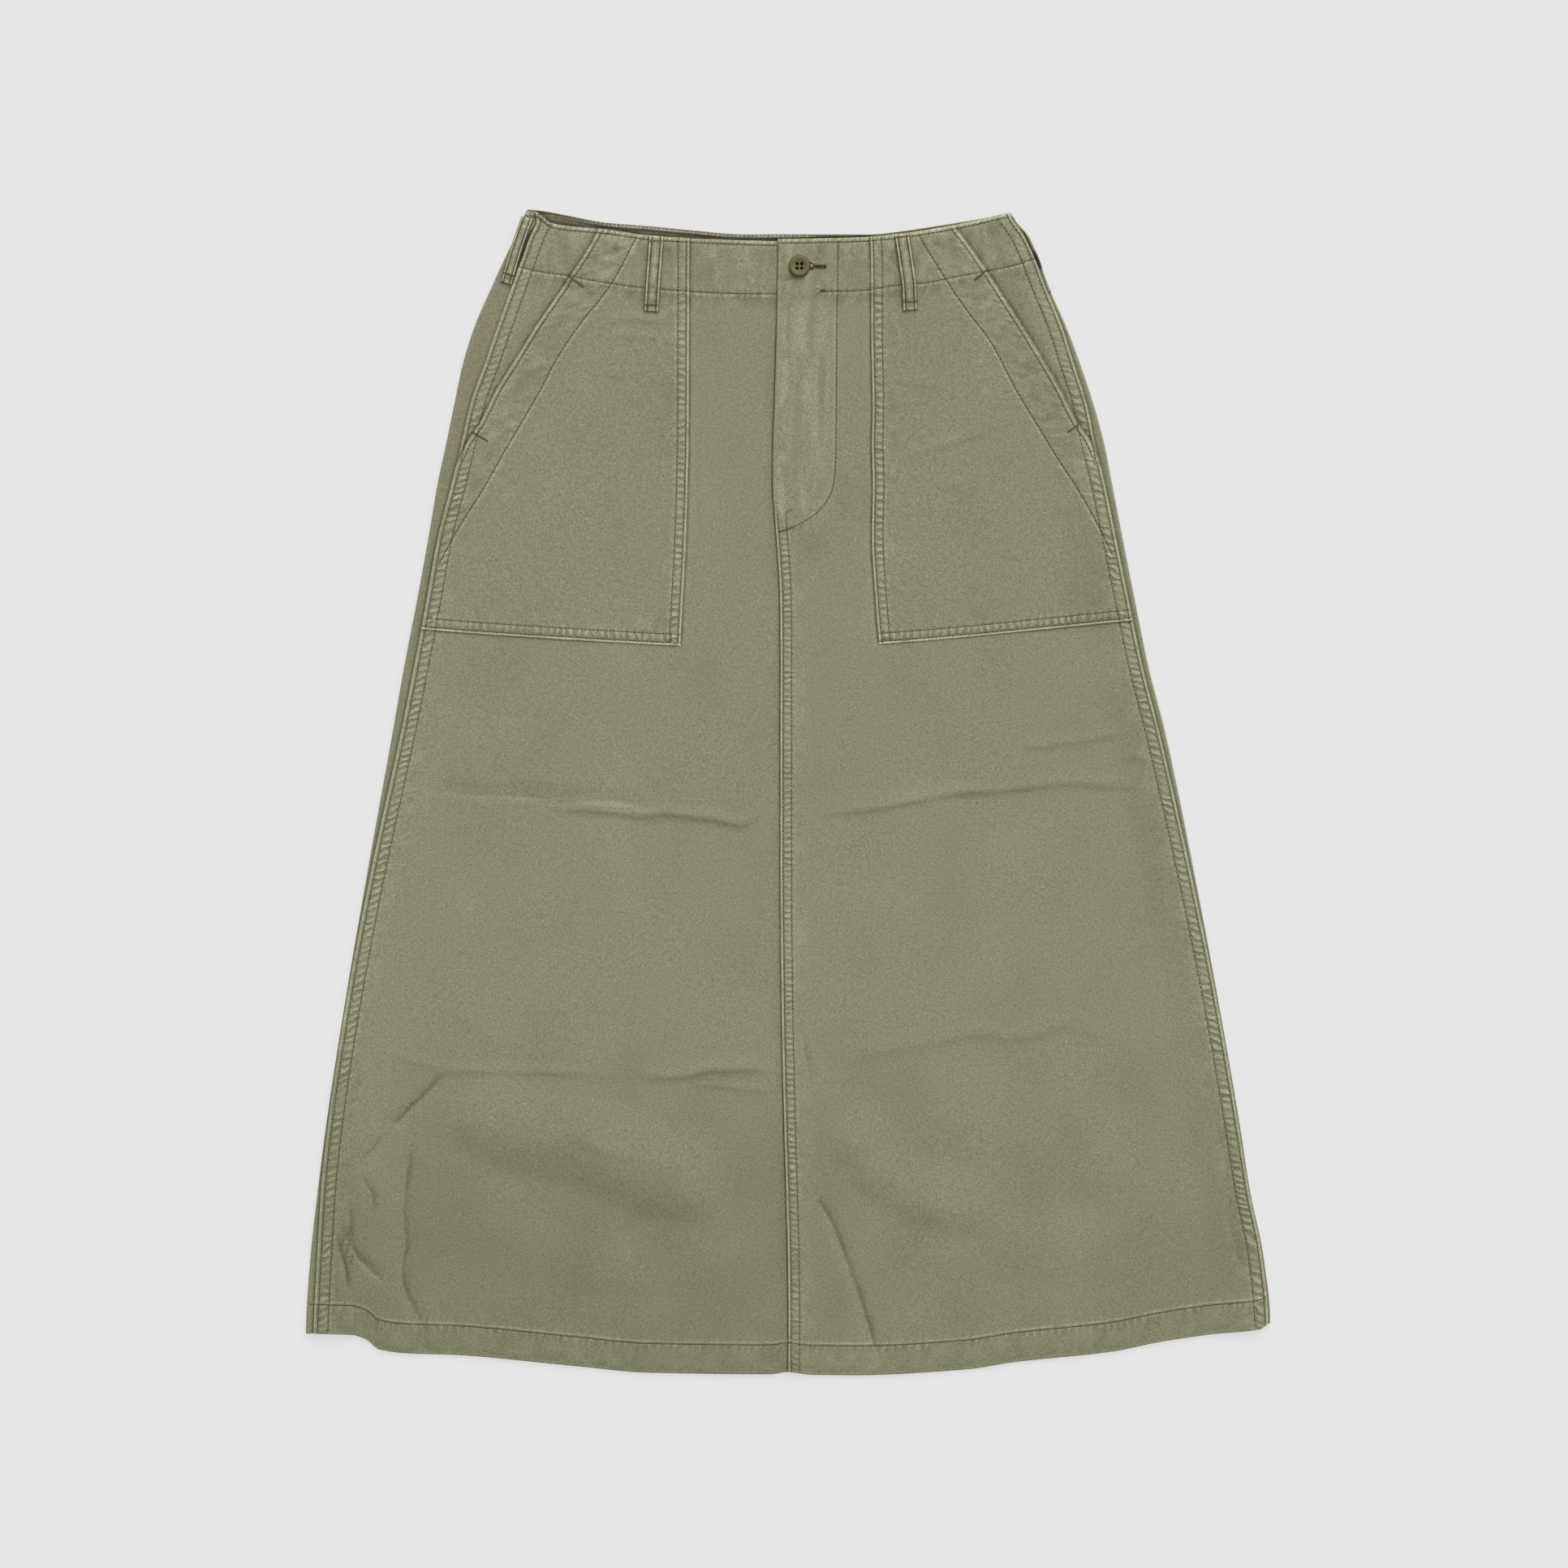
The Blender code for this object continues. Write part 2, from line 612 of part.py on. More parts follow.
def loop_cloth(path, width, carrier_height):
    """Underside of a belt loop along a path of (x, down) corners, arched between its ends."""
    bm, places = new_grid(3, LOOP_CELLS + 1)
    points = [Vector((x, LENGTH / 2 - down)) * MM for x, down in path]
    for vertex, (column, row) in places.items():
        t = row / LOOP_CELLS
        reach = t * (len(points) - 1)
        leg = min(int(reach), len(points) - 2)
        middle = points[leg].lerp(points[leg + 1], reach - leg)
        run = (points[-1] - points[0]).normalized()
        aside = Vector((-run.y, run.x)) * (column - 1) * 0.5 * width * MM
        arch = LOOP_ARCH * math.sin(math.pi * t) ** 0.6 * MM if 0 < row < LOOP_CELLS else 0.0
        x, y = middle.x + aside.x, middle.y + aside.y
        vertex.co = Vector((x, y, carrier_height(x, y) + GAP * MM + arch))
    return bm


def build_front_loops(part, pocket_trees):
    """The two belt loops that stand on the pockets."""
    paths = {
        "loop_front_right": [(-100.3, 22.0), (-104.3, 78.4)],
        "loop_front_left": [(87.0, 20.0), (92.6, 57.7), (93.4, 77.4)],
    }
    for (name, path), tree in zip(paths.items(), pocket_trees):
        bm = loop_cloth(path, LOOP_WIDTH, lambda x, y, tree=tree: height_on(tree, x, y))
        add_wall(add_object(part, name, bm, OLIVE_WORN))


def build_right_side_loop(part):
    """The loop on the back's turned part, just outside the right side seam."""
    path = [(-199.2, 7.5), (-207.4, 32.0), (-214.6, 56.4)]
    bm = loop_cloth(path, SIDE_LOOP_WIDTH, lambda x, y: 2.0 * FOLD_RADIUS * MM)
    add_wall(add_object(part, "loop_side_right", bm, OLIVE_WORN))


def build_left_side_loop(part):
    """The loop wrapped round the outside of the left side fold."""
    top_down, foot_down = 14.0, 64.0
    first_angle, last_angle = math.radians(64.0), math.radians(-22.0)
    columns = 6
    bm, places = new_grid(columns, LOOP_CELLS + 1)
    for vertex, (column, row) in places.items():
        t = row / LOOP_CELLS
        down = blend(top_down, foot_down, t)
        angle = blend(first_angle, last_angle, column / (columns - 1))
        radius = FOLD_RADIUS + 2.0 * GAP + 0.8 * LOOP_ARCH * math.sin(math.pi * t)
        x = line_x(LEFT_FOLD, down) - FOLD_RADIUS + radius * math.cos(angle)
        z = FOLD_RADIUS + radius * math.sin(angle)
        vertex.co = Vector((x, LENGTH / 2 - down, z)) * MM
    add_wall(add_object(part, "loop_side_left", bm, OLIVE_WORN))


def build_button(part, cutters, left_tree):
    """The four-hole button: a turned disc with a sewing well and a rounded rim."""
    x, y = 8.8 * MM, (LENGTH / 2 - 44.3) * MM
    profile = [(0.0, 1.9), (3.9, 1.9), (4.7, 2.4), (6.3, 2.7), (7.5, 2.4), (BUTTON_RADIUS, 1.5),
               (7.7, 0.7), (6.6, 0.2), (0.0, 0.0)]
    bm = bmesh.new()
    points = [bm.verts.new((radius * MM, 0.0, height * MM)) for radius, height in profile]
    for upper, lower in zip(points, points[1:]):
        bm.edges.new((upper, lower))
    button = add_object(part, "button", bm, BUTTON_OLIVE, roughness=0.45)
    button.location = (x, y, height_on(left_tree, x, y) + BUTTON_SEAT * MM)
    turn = button.modifiers.new("turn", "SCREW")
    turn.axis = "Z"
    turn.steps = turn.render_steps = 28
    turn.use_merge_vertices = True
    turn.merge_threshold = 0.00001
    for index in range(4):
        angle = math.radians(45.0 + 90.0 * index)
        reach = BUTTON_HOLE_PITCH / math.sqrt(2.0) * MM
        bpy.ops.mesh.primitive_cylinder_add(vertices=10, radius=BUTTON_HOLE_RADIUS * MM, depth=8.0 * MM)
        drill = bpy.context.active_object
        drill.name = f"button_drill_{index}"
        drill.location = button.location + Vector((reach * math.cos(angle), reach * math.sin(angle), 0.0))
        drill.hide_render = True
        drill.display_type = "WIRE"
        for owner in list(drill.users_collection):
            owner.objects.unlink(drill)
        cutters.objects.link(drill)
        hole = button.modifiers.new(f"hole_{index}", "BOOLEAN")
        hole.operation = "DIFFERENCE"
        hole.object = drill


def build():
    """Build every piece of the skirt."""
    part, cutters = start_scene()
    build_back(part)
    build_waist_facing(part)
    left_tree = build_fronts(part)
    pocket_trees = build_pockets(part)
    build_front_loops(part, pocket_trees)
    build_right_side_loop(part)
    build_left_side_loop(part)
    build_button(part, cutters, left_tree)


build()
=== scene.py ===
"""Looks of the cargo utility skirt: washed cotton shells, creases, sewing, button, floor, light and camera.

Tables and sizes are in millimetres in the skirt's own frame: "x" runs across from the middle of the hem and
"down" runs from the highest point of the waist to the hem.  Right and left are the wearer's, so the right
side is at -x.  Meshes are in metres, +Z up from the surface that the skirt lies on.
"""

import logging
import math
from dataclasses import dataclass, field
from enum import Enum
from typing import Callable, NamedTuple, Sequence

import bmesh
import bpy
import numpy as np
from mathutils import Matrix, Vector
from mathutils.bvhtree import BVHTree

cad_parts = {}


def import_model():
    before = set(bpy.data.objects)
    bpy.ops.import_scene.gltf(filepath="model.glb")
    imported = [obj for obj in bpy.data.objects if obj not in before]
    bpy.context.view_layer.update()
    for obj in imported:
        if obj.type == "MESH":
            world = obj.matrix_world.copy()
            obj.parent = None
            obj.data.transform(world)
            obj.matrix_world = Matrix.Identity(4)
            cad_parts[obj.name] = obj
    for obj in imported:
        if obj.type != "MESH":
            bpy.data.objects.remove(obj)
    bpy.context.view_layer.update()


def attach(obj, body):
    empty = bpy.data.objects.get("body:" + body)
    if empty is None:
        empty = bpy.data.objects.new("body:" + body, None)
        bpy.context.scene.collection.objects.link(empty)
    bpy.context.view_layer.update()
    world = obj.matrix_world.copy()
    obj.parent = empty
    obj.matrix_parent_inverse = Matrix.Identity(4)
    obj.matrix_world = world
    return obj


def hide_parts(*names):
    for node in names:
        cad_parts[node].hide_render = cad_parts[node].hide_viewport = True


Array = np.ndarray
Point = tuple[float, float]
Triple = tuple[float, float, float]
Marks = tuple[Array, Array, Array]
Guide = Callable[[Array], Array]
Socket = bpy.types.NodeSocket

MM = 0.001
HALF_LENGTH = 445.8      # from the origin to the highest point of the waist
LOG = logging.getLogger("skirt")


# ---------------------------------------------------------------- tables

SECTION_COLUMNS = ("right_edge", "right_seam", "right_pocket", "centre", "left_pocket", "left_seam", "left_edge")
SECTIONS = (
    # down  right_edge  right_seam  right_pocket  centre  left_pocket  left_seam  left_edge
    (0.0, -199.8, -193.9, -74.9, -7.9, 62.3, 167.6, 168.8),
    (10.0, -203.8, -192.0, -74.9, -7.9, 62.4, 172.5, 175.0),
    (20.0, -207.9, -196.4, -74.9, -7.9, 62.6, 180.0, 183.4),
    (40.0, -217.5, -203.8, -75.0, -7.9, 63.2, 189.4, 192.0),
    (60.0, -226.5, -211.0, -75.1, -8.3, 63.4, 197.0, 199.5),
    (90.0, -239.5, -221.8, -75.3, -8.8, 63.4, 209.4, 212.8),
    (120.0, -248.8, -232.2, -75.4, -9.6, 63.8, 219.0, 224.0),
    (150.0, -255.1, -242.9, -75.5, -10.5, 64.4, 228.5, 233.9),
    (180.0, -261.3, -249.7, -75.7, -11.6, 63.8, 234.8, 242.0),
    (210.0, -267.7, -256.8, -76.3, -11.9, 64.6, 242.0, 247.8),
    (250.0, -274.5, -267.1, -77.5, -9.1, 63.9, 250.2, 255.6),
    (300.0, -283.6, -276.2, -80.1, -6.2, 66.8, 260.5, 265.5),
    (350.0, -293.3, -285.7, -83.0, -5.9, 71.0, 271.1, 275.7),
    (400.0, -302.1, -295.6, -87.0, -6.0, 75.0, 283.8, 288.5),
    (500.0, -320.1, -317.3, -96.0, -6.0, 84.0, 306.4, 309.2),
    (600.0, -337.4, -336.3, -105.0, -5.2, 93.0, 326.9, 328.1),
    (700.0, -352.9, -351.4, -114.0, -3.1, 101.0, 344.3, 345.5),
    (750.0, -359.3, -356.7, -118.0, -1.6, 106.0, 352.3, 353.2),
    (800.0, -364.8, -359.7, -122.0, -0.3, 110.0, 362.2, 363.5),
    (850.0, -368.2, -362.2, -126.0, 0.2, 114.0, 366.9, 368.7),
    (892.0, -369.0, -363.5, -130.0, 0.0, 118.0, 366.0, 368.0),
)
WAIST_FRONT = (
    (-200.0, 1.5), (-194.0, 2.0), (-188.0, 5.5), (-181.0, 11.0), (-170.0, 13.0), (-140.0, 15.8),
    (-104.0, 20.8), (-75.0, 22.6), (-32.0, 24.2), (-8.0, 24.8), (27.0, 22.8), (63.0, 21.4), (86.0, 19.2),
    (117.0, 14.3), (142.0, 9.3), (169.0, 3.1),
)
WAIST_BACK = (
    (-200.0, 0.0), (-194.0, 0.6), (-188.0, 1.2), (-181.0, 2.4), (-170.0, 4.5), (-140.0, 10.2),
    (-104.0, 13.2), (-75.0, 16.0), (-32.0, 19.3), (-8.0, 19.2), (63.0, 19.3), (86.0, 17.0), (117.0, 12.4),
    (142.0, 8.3), (169.0, 3.1),
)
BAND_LINE = (
    (-212.0, 42.5), (-196.0, 47.0), (-180.0, 49.6), (-168.0, 51.0), (-155.0, 54.0), (-137.0, 57.0),
    (-104.0, 61.4), (-31.0, 64.9), (-8.0, 65.0), (26.0, 63.6), (55.0, 62.6), (88.0, 58.3), (99.0, 57.6),
    (136.0, 50.8), (146.5, 49.0), (161.0, 45.9), (173.0, 43.4), (189.0, 38.2),
)
POCKET_FOOT = ((-280.0, 321.7), (-230.0, 325.5), (-82.3, 334.2), (-6.0, 336.9), (70.2, 332.9), (263.0, 315.0))
HEM_LINE = (
    (-369.0, 859.3), (-333.5, 860.6), (-322.0, 864.3), (-313.0, 871.7), (-292.0, 874.8), (-255.0, 876.1),
    (-162.0, 884.7), (-106.0, 889.7), (-13.0, 890.9), (0.0, 889.1), (20.0, 891.3), (52.0, 891.6),
    (136.0, 887.2), (173.0, 881.6), (247.5, 873.6), (285.0, 866.1), (322.0, 860.6), (360.0, 856.2),
    (368.5, 850.6),
)
FLY_STITCH = ((38.3, 21.1), (38.0, 57.7), (37.4, 88.7), (36.7, 188.0), (35.5, 206.5), (33.6, 215.8),
              (30.5, 222.0), (25.6, 228.8), (18.8, 235.0), (11.9, 239.3), (5.7, 242.4), (-7.2, 247.0))


@dataclass(frozen=True)
class Side:
    """One side of the front: its tables, its stitch rows and what differs from the other side."""

    name: str
    laps_over: bool          # this front lies on the other one at the centre
    inwards: float           # the way in from the side fold, along x
    seed: int
    rows: Point              # stitch rows of the side seam, from its edge
    skew: float              # how far the side seam's puckers slant
    foot_rows: Point         # stitch rows of the pocket's lower edge
    mouth_row: float
    mouth_fold: float        # middle of the mouth's light fold
    mouth_gap_shadow: float         # painted shadow: how dark the mouth's very edge is
    mouth_foot: float        # depth where the pocket's edge comes to the side seam
    band_span: Point         # from where to where the band's row runs across
    foot_span: Point         # from where to where the pocket's foot shades the front
    pocket_cells: int
    mouth: tuple[Point, ...]
    facing: tuple[Point, ...]


RIGHT = Side(
    "right", False, 1.0, 1, rows=(3.3, 11.0), skew=0.45, foot_rows=(2.3, 8.8), mouth_row=3.2, mouth_fold=1.4,
    mouth_gap_shadow=0.0, mouth_foot=188.0, band_span=(-230.0, -5.0), foot_span=(-286.0, -81.0), pocket_cells=62,
    mouth=((16.7, -144.9), (33.0, -154.2), (52.0, -166.8), (72.0, -180.2), (88.7, -191.7), (113.5, -206.9),
           (138.3, -222.4), (163.0, -234.8), (181.7, -246.6), (196.5, -252.8)),
    facing=((23.6, -117.0), (57.7, -135.6), (88.7, -159.8), (113.5, -176.5), (138.3, -189.5),
            (163.0, -203.8), (187.9, -218.4), (212.7, -232.3), (243.7, -251.6), (274.7, -268.5)))
LEFT = Side(
    "left", True, -1.0, 2, rows=(2.6, 10.4), skew=0.25, foot_rows=(2.2, 8.4), mouth_row=3.8, mouth_fold=2.2,
    mouth_gap_shadow=-0.6, mouth_foot=184.0, band_span=(25.0, 230.0), foot_span=(69.0, 270.0), pocket_cells=54,
    mouth=((14.3, 128.5), (32.2, 142.1), (58.3, 159.5), (88.7, 179.0), (113.5, 194.2), (138.3, 208.5),
           (163.7, 221.5), (175.5, 230.2), (191.6, 237.6)),
    facing=((20.5, 100.6), (40.0, 112.3), (75.6, 135.9), (101.1, 155.1), (138.3, 175.0), (163.1, 189.9),
            (187.9, 204.8), (212.7, 220.9), (243.7, 238.2), (268.5, 250.0)))
CENTRE_ROWS = (2.6, 8.8)
POCKET_ROWS = (2.5, 8.8)
WAIST_ROW = 3.3
FACING_ROW = 0.5


class Curve:
    """A smooth line through a few rows of (place, value), with no overshoot between them."""

    def __init__(self, rows: Sequence[Point]) -> None:
        """Store the rows and work out the slope at each.

        Args:
            rows: Pairs of place and value, in rising order of place.
        """
        self.keys = np.array([row[0] for row in rows], float)
        self.values = np.array([row[1] for row in rows], float)
        steps = np.diff(self.values) / np.diff(self.keys)
        product = steps[:-1] * steps[1:]
        total = np.where(product > 0.0, steps[:-1] + steps[1:], 1.0)
        self.slopes = np.concatenate([steps[:1], np.where(product > 0.0, 2.0 * product / total, 0.0), steps[-1:]])

    def __call__(self, place: Array | float) -> Array:
        """Value at a place, held level past both ends.

        Args:
            place: One or more places.

        Returns:
            The values there.
        """
        at = np.clip(np.asarray(place, float), self.keys[0], self.keys[-1])
        i = np.clip(np.searchsorted(self.keys, at, side="right") - 1, 0, len(self.keys) - 2)
        span = self.keys[i + 1] - self.keys[i]
        t = (at - self.keys[i]) / span
        start = (1.0 + 2.0 * t) * (1.0 - t) ** 2 * self.values[i]
        end = t * t * (3.0 - 2.0 * t) * self.values[i + 1]
        tangents = t * (1.0 - t) ** 2 * self.slopes[i] + t * t * (t - 1.0) * self.slopes[i + 1]
        return start + end + span * tangents

    def slope(self, place: Array | float) -> Array:
        """Slope of the line at a place."""
        return (self(np.asarray(place) + 1.0) - self(np.asarray(place) - 1.0)) / 2.0


def soft_step(t: Array | float) -> Array:
    """0 below 0, 1 above 1, and smooth between."""
    t = np.clip(t, 0.0, 1.0)
    return t * t * (3.0 - 2.0 * t)


def hump(distance: Array, half: float) -> Array:
    """1 at no distance, falling smoothly to 0 at the half width."""
    t = np.clip(np.abs(distance) / half, 0.0, 1.0)
    return (1.0 - t * t) ** 2


def wander(place: Array, seed: int) -> Array:
    """Smooth uneven value from -1 to 1 along a line.

    Args:
        place: Distances along the line, where 1 is about one swing.
        seed: Which unevenness to use.

    Returns:
        The value at each place.
    """
    table = np.random.default_rng(seed).uniform(-1.0, 1.0, 512)
    whole = np.floor(place).astype(int)
    share = soft_step(place - whole)
    return table[whole % 512] * (1.0 - share) + table[(whole + 1) % 512] * share


def wander_over(x: Array, y: Array, seed: int) -> Array:
    """Smooth uneven value from -1 to 1 over a surface.

    Args:
        x: Places one way, where 1 is about one swing.
        y: Places the other way.
        seed: Which unevenness to use.

    Returns:
        The value at each place.
    """
    table = np.random.default_rng(seed).uniform(-1.0, 1.0, (128, 128))
    column, row = np.floor(x).astype(int), np.floor(y).astype(int)
    u, v = soft_step(x - column), soft_step(y - row)
    c0, c1, r0, r1 = column % 128, (column + 1) % 128, row % 128, (row + 1) % 128
    top = table[r0, c0] * (1.0 - u) + table[r0, c1] * u
    foot = table[r1, c0] * (1.0 - u) + table[r1, c1] * u
    return top * (1.0 - v) + foot * v


# ---------------------------------------------------------------- how the skirt lies

@dataclass(frozen=True)
class Lie:
    """The outline, seams and plies of the skirt as it lies, from a few sizes and the tables.

    The heights repeat the solids: a wall of cloth, the air between two plies and the side folds.
    """

    wall: float = 1.2
    gap: float = 0.3
    fold_radius: float = 2.0
    side_lap: float = 10.0
    centre_lap: float = 9.0
    underlap: float = 38.0
    band: float = 38.0
    hem: float = 22.5
    fly_length: float = 222.0
    ease: float = 12.0
    side_ease: float = 34.0
    fly_rise: float = 1.4
    lines: dict[str, Curve] = field(default_factory=lambda: {
        name: Curve([(row[0], row[column + 1]) for row in SECTIONS])
        for column, name in enumerate(SECTION_COLUMNS)})
    waist_front: Curve = field(default_factory=lambda: Curve(WAIST_FRONT))
    waist_back: Curve = field(default_factory=lambda: Curve(WAIST_BACK))
    band_line: Curve = field(default_factory=lambda: Curve(BAND_LINE))
    pocket_foot: Curve = field(default_factory=lambda: Curve(POCKET_FOOT))
    hem_line: Curve = field(default_factory=lambda: Curve(HEM_LINE))

    def waist_left(self, x: Array) -> Array:
        """Waist edge of the left front, which stands a little above the right front's at the fly."""
        return self.waist_front(x) - self.fly_rise * soft_step((28.0 - x) / 34.0)

    def waist(self, side: Side) -> Guide:
        """Waist edge of the front on one side."""
        return self.waist_left if side.laps_over else self.waist_front

    def hem_stitch(self, x: Array) -> Array:
        """Depth of the hem's stitch row."""
        return self.hem_line(x) - self.hem

    def front_top(self, x: Array, down: Array, laps_over: bool) -> Array:
        """Height of the front's outside from the plies below it, without its creases.

        Args:
            x: Places across.
            down: Places down.
            laps_over: True for the left front, which lies on the right front at the centre.

        Returns:
            The heights.
        """
        rest = self.wall + self.gap
        depth = down - self.waist_front(x)
        inside_right = x - self.lines["right_seam"](down)
        inside_left = self.lines["left_seam"](down) - x
        inside = np.minimum(inside_right, inside_left)
        side = (2.0 * self.fold_radius + self.gap - rest) * soft_step(
            (self.side_lap + self.side_ease - inside) / self.side_ease)
        band = rest * soft_step((self.band + self.ease - depth) / self.ease)
        height = rest + np.maximum(side, band) + self.wall
        if laps_over:
            past = x - self.lines["centre"](down)
            seam = soft_step((self.centre_lap + 14.5 - past) / 14.5)
            fly = soft_step((self.underlap + self.ease - past) / self.ease)
            fly = fly * soft_step((self.fly_length + 29.0 - depth) / 29.0)
            height = height + rest * np.maximum(seam, fly)
        return height


class Runs(Enum):
    """Whether a seam's table gives x from down, or down from x."""

    DOWN = "down"
    ACROSS = "across"


@dataclass(frozen=True)
class SeamLine:
    """A seam or edge from which distances are measured, positive towards one side."""

    curve: Guide
    runs: Runs
    side: float
    start: float = -1000.0
    stop: float = 2000.0
    fade: float = 8.0

    def measure(self, x: Array, down: Array) -> tuple[Array, Array, Array]:
        """Distance across from the line, distance along it, and whether it reaches here.

        Args:
            x: Places across.
            down: Places down.

        Returns:
            The distance across, the distance along, and a share from 0 past the line's ends to 1.
        """
        key, value = (down, x) if self.runs is Runs.DOWN else (x, down)
        slope = (self.curve(key + 2.0) - self.curve(key - 2.0)) / 4.0
        stretch = np.sqrt(1.0 + slope * slope)
        across = self.side * (value - self.curve(key)) / stretch
        along = key * stretch
        reach = soft_step((key - self.start) / self.fade) * soft_step((self.stop - key) / self.fade)
        return across, along, reach


class Stripe(NamedTuple):
    """A line beside a seam: its middle, half width, how much it is worn light (or, below 0, darkened as painted
    shade), and its height.
    """

    middle: float
    half: float
    wear: float
    rise: float


class Drag(NamedTuple):
    """Soft uneven streaks beside a seam, from one distance to another.

    Their spacing is measured along the seam and their reach across it.
    """

    start: float
    stop: float
    # worn light where the streaks swing one way, painted shade where they swing the other
    wear: float
    rise: float
    spacing: float
    reach: float
    edge: float = 4.0


class Pucker(NamedTuple):
    """Even puckers between two stitch rows, or on both sides of one, with short tails beyond.

    "second" is 0 for a single row; "tail" is how far the tails reach and skew is how far they slant.
    "before" is their share on the near side of a single row; above "smooth_above" they nearly end, and they
    come to full strength over "smooth_over".
    """

    first: float
    second: float = 0.0
    pitch: float = 6.2
    skew: float = 0.0
    strength: float = 1.0
    tail: float = 7.0
    before: float = 1.0
    smooth_above: float = -1000.0
    smooth_over: float = 12.0

    def measure(self, line: SeamLine, x: Array, down: Array) -> tuple[Array, Array, Array]:
        """The puckers at each place.

        Args:
            line: The seam's line.
            x: Places across.
            down: Places down.

        Returns:
            Turns along the seam, place across it from 0 at one row to 1 at the other, and strength.
        """
        across, along, reach = line.measure(x, down)
        turns = (along + self.skew * across) / self.pitch
        if self.second:
            place = np.where(across > self.second, 1.0 + (across - self.second) / self.tail,
                             (across - self.first) / (self.second - self.first))
        else:
            place = 1.0 + np.abs(across - self.first) / self.tail
            reach = reach * np.where(across < self.first, self.before, 1.0)
        smooth = 0.25 + 0.75 * soft_step((down - self.smooth_above) / self.smooth_over)
        return turns, np.clip(place, -1.0, 4.0), self.strength * reach * smooth


@dataclass(frozen=True)
class Seam:
    """What a seam does to the cloth beside it: its rubbed light and painted shade, its height and its puckers."""

    line: SeamLine
    stripes: tuple[Stripe, ...] = ()
    drags: tuple[Drag, ...] = ()
    seed: int = 1
    pucker: Pucker | None = None

    def add(self, x: Array, down: Array, height: Array, wear: Array) -> None:
        """Add this seam's height, rubbed light and painted shade to a panel's.

        Args:
            x: Places across.
            down: Places down.
            height: Heights, changed in place.
            wear: From -1, dark with painted shade, to 1, worn light, changed in place.
        """
        across, along, reach = self.line.measure(x, down)
        for number, stripe in enumerate(self.stripes):
            share = hump(across - stripe.middle, stripe.half) * reach
            uneven = 1.0 + 0.35 * wander(along / 9.0, self.seed * 31 + number)
            wear += stripe.wear * share * uneven
            height += stripe.rise * share
        for number, drag in enumerate(self.drags):
            seed = self.seed * 57 + number * 5
            wave = wander_over(2.0 * along / drag.spacing, 2.0 * across / drag.reach, seed)
            wave = 1.4 * wave + 0.5 * wander_over(4.3 * along / drag.spacing, 4.3 * across / drag.reach, seed + 1)
            inside = soft_step((across - drag.start) / drag.edge) * soft_step((drag.stop - across) / drag.edge)
            share = inside * reach
            wear += drag.wear * share * wave
            height += drag.rise * share * wave


def measured(points: Sequence[Point]) -> tuple[Array, Array]:
    """A path's points as an array, and the distance along it at which each is reached."""
    path = np.array(points, float)
    return path, np.concatenate([[0.0], np.cumsum(np.hypot(*np.diff(path, axis=0).T))])


class Crease(NamedTuple):
    """A soft ridge or trough through a few points, steeper on one side than on the other.

    "above" and "below" are its half widths to the left and right of the way it runs; sharp is from 0,
    rounded, to 1, with a keen crest.  The points give its darkest line, so a ridge's crest lies a little off them.
    """

    points: tuple[Point, ...]
    height: float
    above: float
    below: float
    sharp: float = 0.4
    taper: float = 0.3
    # painted shade along the darkest line, given as a negative number
    wear: float = 0.0

    def path(self) -> Array:
        """The crease's points, with more between them on a smooth line."""
        points = np.array(self.points, float)
        if len(points) == 2:
            return points
        padded = np.vstack([2.0 * points[0] - points[1], points, 2.0 * points[-1] - points[-2]])
        dense = []
        for before, start, end, after in zip(padded, padded[1:], padded[2:], padded[3:]):
            for t in (0.0, 0.34, 0.67):
                dense.append(0.5 * (2.0 * start + (end - before) * t
                                    + (2.0 * before - 5.0 * start + 4.0 * end - after) * t ** 2
                                    + (3.0 * start - before - 3.0 * end + after) * t ** 3))
        return np.array(dense + [points[-1]])

    def add(self, x: Array, down: Array, height: Array) -> tuple[Array, Array]:
        """Add the crease to a panel's heights.

        Args:
            x: Places across.
            down: Places down.
            height: Heights, changed in place.

        Returns:
            The signed distance from its darkest line, and how dark that line is here.
        """
        path = self.path()
        runs = np.diff(path, axis=0)
        lengths = np.hypot(runs[:, 0], runs[:, 1])
        reached = np.concatenate([[0.0], np.cumsum(lengths)])
        nearest = np.full(x.shape, 1e9)
        signed = np.full(x.shape, 1e9)
        place = np.zeros(x.shape)
        for (x0, down0), (run_x, run_down), length, before in zip(path, runs, lengths, reached):
            t = np.clip(((x - x0) * run_x + (down - down0) * run_down) / length ** 2, 0.0, 1.0)
            off_x, off_down = x - x0 - t * run_x, down - down0 - t * run_down
            distance = np.hypot(off_x, off_down)
            closer = distance < nearest
            side = np.where(run_x * off_down - run_down * off_x < 0.0, -1.0, 1.0)
            signed = np.where(closer, side * distance, signed)
            place = np.where(closer, before + t * length, place)
            nearest = np.where(closer, distance, nearest)
        share = place / reached[-1]
        ends = soft_step(share / self.taper) * soft_step((1.0 - share) / self.taper)
        lead = 0.4 * (self.below if self.above > self.below else -self.above) if self.height > 0.0 else 0.0
        offset = signed + lead
        t = np.clip(np.abs(offset) / np.where(offset > 0.0, self.below, self.above), 0.0, 1.0)
        profile = (1.0 - self.sharp) * (1.0 - t * t) ** 2 + self.sharp * (1.0 - t) ** 2 * (1.0 + 0.6 * t)
        swell = 1.0 + 0.3 * wander(place / 17.0, int(abs(path[0][0]) * 7))
        height += self.height * profile * ends * swell
        # the second value is how dark the line's painted shade is here
        return signed, -self.wear * ends * swell * (1.0 + 0.25 * wander(place / 11.0, 3))


# ---------------------------------------------------------------- meshes

